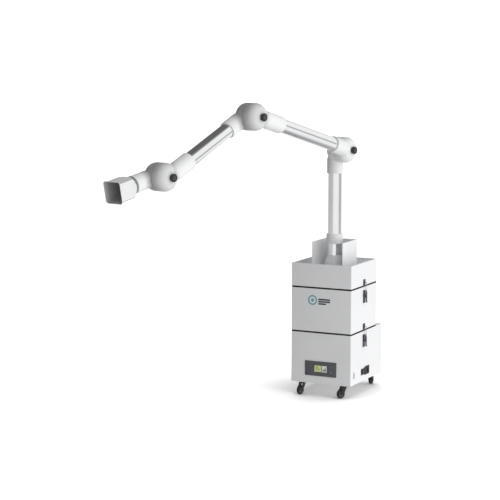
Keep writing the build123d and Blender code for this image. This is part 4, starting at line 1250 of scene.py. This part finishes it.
def bezel(width, height, hole_w, hole_h, hole_r, deep):
    """Socket bezel with a rounded edge and a pocket."""
    edge = 0.0008
    levels = [
        (width - 0.010, height - 0.010, 0.002, -0.001),
        (width, height, 0.003, 0.0),
        (width, height, 0.003, BEZEL_T - edge),
        (width - 2 * edge, height - 2 * edge, 0.0024, BEZEL_T),
        (hole_w + 0.001, hole_h + 0.001, hole_r + 0.0005, BEZEL_T),
        (hole_w, hole_h, hole_r, BEZEL_T - 0.0006),
        (hole_w, hole_h, hole_r, -deep),
    ]
    return skin(level_rings(levels))


def sockets():
    """Three bezels on the right wall: mains inlet with its pins, switch surround and remote port."""
    inlet = moved(bezel(0.064, 0.046, 0.036, 0.024, 0.003, 0.016), Vector((INLET_Y, SOCKET_Z, 0)))
    surround = moved(bezel(0.044, 0.034, 0.027, 0.017, 0.0008, 0.012),
                     Vector((rocker_spot.y, SOCKET_Z, 0)))
    port = moved(bezel(0.013, 0.036, 0.005, 0.018, 0.0008, 0.010), Vector((PORT_Y, SOCKET_Z, 0)))
    plate = moved(joined(inlet, surround), socket_place)
    fit(plate, "socket_bezels", socket_black, "cabinet", "black_plastic", "mains_sockets")
    fit(moved(port, socket_place), "remote_port_bezel", port_grey, "cabinet", "button_plastic")
    pins = []
    for step in (-1, 0, 1):
        outline = rounded_rectangle(0.002, 0.006, 0.0005, 3)
        rise = 0.002 if step == 0 else -0.002
        pins.append(moved(prism(outline, -0.0165, -0.002),
                          Vector((INLET_Y + step * 0.010, SOCKET_Z + rise, 0))))
    for step in range(4):
        outline = rounded_rectangle(0.0009, 0.0009, 0.0002, 2)
        pins.append(moved(prism(outline, -0.0105, -0.004),
                          Vector((PORT_Y, SOCKET_Z - 0.006 + 0.004 * step, 0))))
    fit(moved(joined(*pins), socket_place), "socket_pins", zinc, "cabinet", "steel")
    spots = []
    for y in (INLET_Y - 0.027, INLET_Y + 0.027):
        spots.append((Vector((side_x + BEZEL_T, y, SOCKET_Z)), Vector((1, 0, 0))))
    screws("socket_screws", spots, 0.0026, cap_grey, "cabinet", "steel")


sockets()


def mains_rocker():
    """Rocker with a dished face, a line and a circle."""
    low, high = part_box("mains_rocker")
    half_w = (high.y - low.y) / 2
    half_h = 0.008
    face = high.x - rocker_spot.x
    outline = [(-0.003, -0.007), (face - 0.003, -half_w + 0.0003), (face, -half_w + 0.0003)]
    outline += [(face - 0.002 + 0.002 * (k / 4) ** 2, half_w * k / 4) for k in range(-3, 4)]
    outline += [(face, half_w - 0.0003), (face - 0.003, half_w - 0.0003), (-0.003, 0.007)]
    rocker = moved(prism(outline, -half_h, half_h), rocker_spot)
    piece = soften(shown(rocker, "mains_rocker_key", socket_black), 0.0005, 2)
    fitted(piece, "rocker", "black_plastic", "mains_rocker")
    line = prism(rounded_rectangle(0.0012, 0.006, 0.0004, 3), 0, 0.0004)
    place = axes(rocker_spot + Vector((face - 0.0012, -half_w * 0.5, 0)), (0, 1, 0), (1, 0, 0.0))
    ring = lathe([(0.0020, 0), (0.0030, 0), (0.0030, 0.0004), (0.0020, 0.0004)], 32, closed=True)
    other = axes(rocker_spot + Vector((face - 0.0012, half_w * 0.5, 0)), (0, 1, 0), (1, 0, 0.0))
    marks = joined(moved(line, place), moved(ring, other))
    # The marks take the backlit display finish, so they glow faintly: painted light on printed marks.
    fit(marks, "mains_rocker_marks", screen_grey, "rocker", "button_plastic")


mains_rocker()


def exhaust_grille():
    """Framed grille of tilted slats over the outlet."""
    width = grille_high.x - grille_low.x
    height = grille_high.z - grille_low.z
    place = axes((outlet_centre.x, back_y, outlet_centre.z), (-1, 0, 0), (0, 1, 0))
    border = 0.014
    rim = frame_plate(rounded_rectangle(width, height, 0.006),
                      rounded_rectangle(width - 2 * border, height - 2 * border, 0.003),
                      0, SHEET)
    slat_count, slat_pitch = 10, 0.014
    length = width - 2 * border + 0.002
    corner = Matrix.Translation((-length / 2, -slat_pitch * (slat_count - 1) / 2, -0.0028))
    row = grown("slat_row", empty_base("slat_row"), slats, {
        "Count": slat_count, "Pitch": slat_pitch, "Length": length, "Depth": 0.0125, "Thickness": 0.0014,
        "Tilt": radians(-32), "Finish": coat}, corner)
    piece = shown(moved(joined(rim, taken(row)), place), "exhaust_louvres", coat)
    fitted(soften(piece, 0.0004, 2, 60), "cabinet", "white_paint", "exhaust_grille")
    spots = corner_spots(place, width / 2 - 0.007, height / 2 - 0.007, SHEET, (0, 1, 0))
    screws("grille_screws", spots, 0.0032, zinc, "cabinet", "steel")


exhaust_grille()


# ---------------------------------------------------------------- draw latches
PLATE_W, PLATE_H, PLATE_T = 0.030, 0.070, 0.0015
STRIKE_H = 0.033
LATCH_DROP, STRIKE_RISE = 0.018, 0.008        # plate's top and strike's foot, from the gasket's underside
EAR = ((PLATE_T, -0.002), (PLATE_T, -0.016), (0.0105, -0.013), (0.0105, -0.004))
LEVER_PIVOT = Vector((0.007, -0.008))
BAIL_PIVOT = Vector((0.011, -0.022))
LEVER_HALF = 0.009


def latch_slab(outline, painted_contact_shadow, far, bend=0.0015):
    """Outline in a latch's side view, made into a slab on each side of its middle."""
    smooth = fillet([Vector(point) for point in outline], bend, 3)
    return joined(prism(smooth, painted_contact_shadow, far), prism(smooth, -far, -painted_contact_shadow))


def latch_places():
    """Each latch's side and place: X points out and Y up."""
    places = []
    for node in ("gasket_lower", "gasket_upper"):
        level = span(node, 2)[0]
        for side in (1, -1):
            places.append((side, axes((side * side_x, 0, level - LATCH_DROP), (side, 0, 0),
                                      (0, -side, 0))))
    return places


def latch_plate(place):
    """Base plate with its ears and pin, and the strike with its hook above the gasket."""
    plate = moved(prism(rounded_rectangle(PLATE_H, PLATE_W, 0.004), 0, PLATE_T),
                  axes((0, -PLATE_H / 2, 0), (0, 1, 0), (1, 0, 0)))
    ears = latch_slab(EAR, 0.0125, 0.0145, 0.002)
    end = [(0.0020, 0.0146), (0.0032, 0.0146), (0.0030, 0.0154), (0, 0.0156)]
    pin = moved(lathe([(r, -z) for r, z in reversed(end)] + end, 24), LEVER_PIVOT.to_3d())
    rise = LATCH_DROP + STRIKE_RISE
    strike = moved(prism(rounded_rectangle(STRIKE_H, PLATE_W, 0.004), 0, PLATE_T),
                   axes((0, rise + STRIKE_H / 2, 0), (0, 1, 0), (1, 0, 0)))
    hook_line = [(PLATE_T * 0.5, rise + 0.0135), (0.0118, rise + 0.0135), (0.0128, rise + 0.0158)]
    back_line = [(0.0112, rise + 0.0164), (0.0106, rise + 0.0150), (PLATE_T * 0.5, rise + 0.0150)]
    hook = prism(hook_line + back_line, -0.009, 0.009)
    return moved(joined(plate, ears, pin, strike, hook), place)


def latch_lever(number, place):
    """Over-centre lever with side cheeks, a curled thumb end and grip ribs."""
    handle = [(0.0130, -0.014), (0.0130, -0.060), (0.0148, -0.0645), (0.0164, -0.066), (0.0174, -0.0652),
              (0.0160, -0.0635), (0.0146, -0.059), (0.0146, -0.0145)]
    cheek = [(0.0050, -0.0050), (0.0045, -0.0100), (0.0090, -0.0400), (0.0132, -0.0410),
             (0.0132, -0.0135), (0.0100, -0.0045)]
    grips = []
    for step in range(4):
        y = -0.048 - 0.003 * step
        rib = [(0.0144, y - 0.0008), (0.0153, y - 0.0004), (0.0153, y + 0.0004), (0.0144, y + 0.0008)]
        grips.append(prism(rib, -0.007, 0.007))
    roll = [(0.0021, -LEVER_HALF), (0.0042, -LEVER_HALF), (0.0042, LEVER_HALF), (0.0021, LEVER_HALF)]
    barrel = moved(lathe(roll, 32, closed=True), LEVER_PIVOT.to_3d())
    body = joined(prism(handle, -LEVER_HALF, LEVER_HALF),
                  latch_slab(cheek, LEVER_HALF - 0.002, LEVER_HALF), barrel, *grips)
    piece = soften(shown(moved(body, place), f"latch_lever_{number}_arm", latch_coat), 0.0004, 2)
    fitted(piece, f"latch_lever_{number}", "latch_metal", f"latch_lever_{number}")


def bent_wire(points, radius, bend, name, finish):
    """Round wire along straight runs joined by arcs."""
    curve = bpy.data.curves.new(name, "CURVE")
    curve.dimensions = "3D"
    curve.bevel_depth = radius
    curve.bevel_resolution = 3
    curve.use_fill_caps = True
    path = fillet(points, bend, 6, closed=False)
    line = curve.splines.new("POLY")
    line.points.add(len(path) - 1)
    for point, spot in zip(line.points, path):
        point.co = (*spot, 1)
    holder = bpy.data.objects.new(name, curve)
    bpy.context.scene.collection.objects.link(holder)
    bpy.context.view_layer.update()
    mesh = bpy.data.meshes.new_from_object(holder.evaluated_get(bpy.context.evaluated_depsgraph_get()))
    bpy.data.objects.remove(holder)
    solid = bmesh.new()
    solid.from_mesh(mesh)
    return shown(solid, name, finish)


def latch_bail(number):
    """Wire loop from the lever over the hook."""
    node = f"latch_bail_{number}"
    low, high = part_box(node)
    wire_r = (high.x - low.x) / 2
    x = (low.x + high.x) / 2
    bottom, top = low.z + wire_r, high.z - wire_r
    wide = high.y - wire_r
    stub = 0.006
    path = [(x, stub, bottom), (x, wide, bottom), (x, wide, top), (x, -wide, top), (x, -wide, bottom),
            (x, -stub, bottom)]
    fitted(bent_wire(path, wire_r, 0.0028, node + "_wire", zinc), node, "steel", node)


def latches():
    """All four draw latches."""
    plates, spots = [], []
    for number, (side, place) in enumerate(latch_places(), 1):
        plates.append(latch_plate(place))
        latch_lever(number, place)
        latch_bail(number)
        for y, z in ((-0.063, -0.010), (-0.063, 0.010), (0.0525, -0.010), (0.0525, 0.010)):
            spots.append((place @ Vector((PLATE_T, y, z)), Vector((side, 0, 0))))
    piece = soften(shown(joined(*plates), "latch_plates_pressed", latch_coat), 0.0003, 2)
    fitted(piece, "cabinet", "latch_metal", "latch_plates")
    screws("latch_rivets", spots, 0.0022, latch_coat, "cabinet", "steel")


latches()


# ---------------------------------------------------------------- castors
WHEEL_R, WHEEL_W = 0.025, 0.018
AXLE_R = 0.004
FORK_T, FORK_GAP = 0.003, 0.001
HEAD_R = 0.021


def castor_wheel(number, axle, across):
    """Tyre with a crowned tread on a hub with a dished face."""
    half = WHEEL_W / 2
    rim = 0.018
    tread = [(rim, -half + 0.002), (WHEEL_R - 0.0045, -half)]
    tread += quarter_arc((WHEEL_R - 0.0042, -half + 0.0042), 0.0036, 0.0042, -90, 5)
    tread += [(WHEEL_R, 0)]
    tread += quarter_arc((WHEEL_R - 0.0042, half - 0.0042), 0.0036, 0.0042, 0, 5)
    tread += [(WHEEL_R - 0.0045, half), (rim, half - 0.002)]
    place = axes(axle, UP, across)
    body = f"castor_wheel_{number}"
    fit(moved(lathe(tread, 72, closed=True), place), body + "_tyre", tyre, body, "castor_rubber", body)
    bore = AXLE_R + 0.0002
    face = [(bore, half - 0.0005), (0.0075, half - 0.0005), (0.0082, half - 0.0035),
            (0.0150, half - 0.0035), (0.0165, half - 0.0012), (rim, half - 0.0012)]
    hub = face + [(r, -z) for r, z in reversed(face)]
    spokes = []
    for step in range(5):
        rib = prism([(0.007, -0.0012), (0.0162, -0.0012), (0.0162, 0.0012), (0.007, 0.0012)],
                    -half + 0.0014, half - 0.0014)
        spokes.append(moved(rib, Matrix.Rotation(2 * pi * step / 5, 4, "Z")))
    hub_piece = shown(moved(joined(lathe(hub, 72, closed=True), *spokes), place), body + "_hub",
                      hub_grey)
    fitted(soften(hub_piece, 0.0003, 2), body, "castor_plastic")


def castor_fork(number, stem, axle, ahead, across):
    """Swivel head with two rounded cheeks and an axle with domed ends."""
    head_low = span(f"castor_fork_{number}", 2)[1] - 0.007
    trail = (axle - stem).dot(ahead)
    bore = 0.0052
    head = [(bore, head_low), (HEAD_R - 0.001, head_low), (HEAD_R, head_low + 0.001),
            (HEAD_R, head_low + 0.0030)]
    head += [(HEAD_R - 0.0008, head_low + 0.0034), (HEAD_R - 0.0008, head_low + 0.0042),
             (HEAD_R, head_low + 0.0046)]
    head += [(HEAD_R - 0.001, head_low + 0.0070), (bore, head_low + 0.0070)]
    disc = moved(lathe(head, 72, closed=True), Vector((stem.x, stem.y, 0)))
    side_view = [(-0.0135, head_low + 0.002), (0.015, head_low + 0.002),
                 (trail + 0.0085, axle.z + 0.006)]
    side_view += [(trail + 0.0075, axle.z - 0.008), (trail - 0.0075, axle.z - 0.008),
                  (-0.006, head_low - 0.012)]
    outline = fillet(side_view, 0.006, 5)
    inner = WHEEL_W / 2 + FORK_GAP
    cheeks = joined(prism(outline, inner, inner + FORK_T), prism(outline, -inner - FORK_T, -inner))
    cheeks.transform(axes((stem.x, stem.y, 0), ahead, ahead.cross(UP)))
    reach = inner + FORK_T
    cap = [(0, reach + 0.0018), (0.0030, reach + 0.0014), (0.0052, reach + 0.0002),
           (0.0052, reach - 0.001)]
    pin = cap + [(AXLE_R, reach - 0.001), (AXLE_R, -reach + 0.001)]
    pin += [(r, -z) for r, z in reversed(cap)]
    axle_pin = moved(lathe(pin, 32), axes(axle, UP, across))
    body = f"castor_fork_{number}"
    piece = soften(shown(joined(disc, cheeks, axle_pin), body + "_moulding", castor_black), 0.0006, 2)
    fitted(piece, body, "castor_plastic", body)


def castors():
    """Four swivel castors under their top plates."""
    plates, spots = [], []
    plate_low, plate_high = span("castor_plates", 2)
    plate_z = plate_high - 0.0025
    for number in range(1, 5):
        stem = joint_place(f"castor_{number}_swivel")[0]
        axle, across = joint_place(f"castor_{number}_roll")
        ahead = Vector((axle.x - stem.x, axle.y - stem.y, 0)).normalized()
        castor_wheel(number, axle, across)
        castor_fork(number, stem, axle, ahead, across)
        plates.append(moved(prism(rounded_rectangle(0.054, 0.054, 0.006), plate_z, plate_high),
                            Vector((stem.x, stem.y, 0))))
        pin = [(0, plate_z), (0.005, plate_z), (0.005, plate_low + 0.003), (0.008, plate_low + 0.003),
               (0.008, plate_low + 0.0008), (0.0055, plate_low), (0, plate_low)]
        plates.append(moved(lathe(pin, 32), Vector((stem.x, stem.y, 0))))
        spots += corner_spots(Matrix.Translation((stem.x, stem.y, 0)), 0.0225, 0.0225, plate_z, -UP)
    fitted(soften(shown(joined(*plates), "castor_top_plates", zinc), 0.0004, 2), "cabinet", "steel",
           "castor_plates")
    screws("castor_bolts", spots, 0.0030, zinc, "cabinet", "steel")


castors()
bpy.data.objects.remove(pan_head)


# ---------------------------------------------------------------- floor, light and camera
FLOOR_SIZE = 80


def floor():
    """Plain pale floor that glows evenly, with a painted shadow close under the cabinet."""
    made, tree, shader = start_finish("pale floor", (0.93, 0.93, 0.93), 0.9)
    vary(tree, shader.inputs["Base Color"], noise(tree, 0.6, 2), (0.92, 0.92, 0.92), (0.94, 0.94, 0.94))
    # The floor's glow is cut by ambient occlusion: a painted contact shadow under the cabinet.
    painted_contact_shadow = tree.nodes.new("ShaderNodeAmbientOcclusion")
    painted_contact_shadow.inputs["Distance"].default_value = 0.6
    vary(tree, shader.inputs["Emission Color"], painted_contact_shadow.outputs["AO"], 0.0, 1.0, 0.40, 0.98)
    shader.inputs["Emission Strength"].default_value = 0.72
    shader.inputs["Specular IOR Level"].default_value = 0.0
    ground = shown(prism(rounded_rectangle(FLOOR_SIZE, FLOOR_SIZE, 5), -0.05, -0.0001), "floor", made)
    ground.visible_diffuse = False
    ground.visible_glossy = False
    ground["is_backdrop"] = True


SOFT_LEVEL = 0.72
SOFT_SLOPE = Vector((1.12, 0.0, -0.12))       # how the all-round light grows towards the right and the floor
FILL_FROM = Vector((-0.75, 0.62, 0.22))       # a softer light behind on the left
FILL_LEVEL = 1.1
DARK_CARD = Vector((-0.35, 0.25, 0.90))       # a dark card up on the left, seen in the polished tubes
BACKDROP_LEVEL = 1.6


def studio():
    """White backdrop, soft light that is strongest from the right, and cards for the polished tubes."""
    world = bpy.data.worlds.new("studio")
    bpy.context.scene.world = world
    world.use_nodes = True
    tree = world.node_tree
    tree.nodes.clear()
    out = tree.nodes.new("ShaderNodeOutputWorld")
    path = tree.nodes.new("ShaderNodeLightPath")
    way = tree.nodes.new("ShaderNodeTexCoord").outputs["Generated"]

    def math(operation, *terms):
        """One sum on values or sockets."""
        node = tree.nodes.new("ShaderNodeMath")
        node.operation = operation
        for socket, value in zip(node.inputs, terms):
            if isinstance(value, (int, float)):
                socket.default_value = value
            else:
                tree.links.new(value, socket)
        return node.outputs["Value"]

    def towards(direction):
        """How far the ray points along a direction."""
        node = tree.nodes.new("ShaderNodeVectorMath")
        node.operation = "DOT_PRODUCT"
        node.inputs[1].default_value = direction
        tree.links.new(way, node.inputs[0])
        return node.outputs["Value"]

    def steps(value, stops):
        """Brightness that follows a value from 0 to 1 through (place, brightness) stops."""
        ramp = tree.nodes.new("ShaderNodeValToRGB")
        line = ramp.color_ramp
        while len(line.elements) < len(stops):
            line.elements.new(0.5)
        for element, (place, bright) in zip(line.elements, stops):
            element.position = place
            element.color = (bright, bright, bright, 1)
        tree.links.new(value, ramp.inputs["Fac"])
        return ramp.outputs["Color"]

    def azimuth(degrees):
        """Place on a ramp of a compass direction, where 0 is +X and -90 is the front."""
        return (degrees + 180) / 360

    def light(strength):
        """Background of one strength."""
        node = tree.nodes.new("ShaderNodeBackground")
        if isinstance(strength, (int, float)):
            node.inputs["Strength"].default_value = strength
        else:
            tree.links.new(strength, node.inputs["Strength"])
        return node.outputs["Background"]

    def either(choice, first, second):
        """The second shader where the choice is 1."""
        node = tree.nodes.new("ShaderNodeMixShader")
        tree.links.new(choice, node.inputs[0])
        tree.links.new(first, node.inputs[1])
        tree.links.new(second, node.inputs[2])
        return node.outputs["Shader"]

    rear = math("POWER", math("MAXIMUM", towards(FILL_FROM.normalized()), 0.0), 4.0)
    soft = math("MAXIMUM", math("ADD", towards(SOFT_SLOPE), SOFT_LEVEL), 0.03)
    soft = math("MULTIPLY_ADD", rear, FILL_LEVEL, soft)
    split = tree.nodes.new("ShaderNodeSeparateXYZ")
    tree.links.new(way, split.inputs["Vector"])
    turn = math("MULTIPLY_ADD", math("ARCTAN2", split.outputs["Y"], split.outputs["X"]), 0.5 / pi, 0.5)
    around = steps(turn, [
        (azimuth(-180), 0.58), (azimuth(-108), 0.58), (azimuth(-88), 1.15), (azimuth(-12), 1.2),
        (azimuth(12), 0.54), (azimuth(44), 0.50), (azimuth(60), 1.1), (azimuth(118), 1.0),
        (azimuth(179), 0.58)])
    height = math("MULTIPLY_ADD", split.outputs["Z"], 0.5, 0.5)
    level_share = steps(height, [(0.405, 0.0), (0.43, 1.0), (0.505, 1.0), (0.54, 0.0)])
    overhead = steps(math("MULTIPLY_ADD", towards(DARK_CARD.normalized()), 0.5, 0.5), [
        (0.0, 0.9), (0.2, 1.2), (0.76, 1.2), (0.82, 0.45), (0.88, 0.17), (1.0, 0.15)])
    below = steps(height, [(0.10, 0.42), (0.20, 1.0)])
    mixed = math("MULTIPLY_ADD", math("SUBTRACT", around, overhead), level_share, overhead)
    cards = math("MULTIPLY", mixed, below)
    shaded = either(path.outputs["Is Glossy Ray"], light(soft), light(cards))
    tree.links.new(either(path.outputs["Is Camera Ray"], shaded, light(BACKDROP_LEVEL)),
                   out.inputs["Surface"])


LENS_MM, SENSOR_MM = 115.2, 36
CAMERA_AT = (3.4412, -7.8755, 1.9170)
CAMERA_DROP = 7.580       # degrees below level
CAMERA_TURN = 26.657      # degrees round from straight ahead


def camera():
    """Long lens, a little above the tray, well to the right of the front."""
    lens = bpy.data.cameras.new("camera")
    lens.lens = LENS_MM
    lens.sensor_width = SENSOR_MM
    lens.clip_end = 200
    holder = bpy.data.objects.new("camera", lens)
    holder.location = CAMERA_AT
    holder.rotation_euler = (radians(90 - CAMERA_DROP), 0, radians(CAMERA_TURN))
    bpy.context.scene.collection.objects.link(holder)
    bpy.context.scene.camera = holder


floor()
studio()
camera()
bpy.context.scene.view_settings.view_transform = "Standard"
bpy.context.scene.view_settings.look = "None"

low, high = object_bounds()
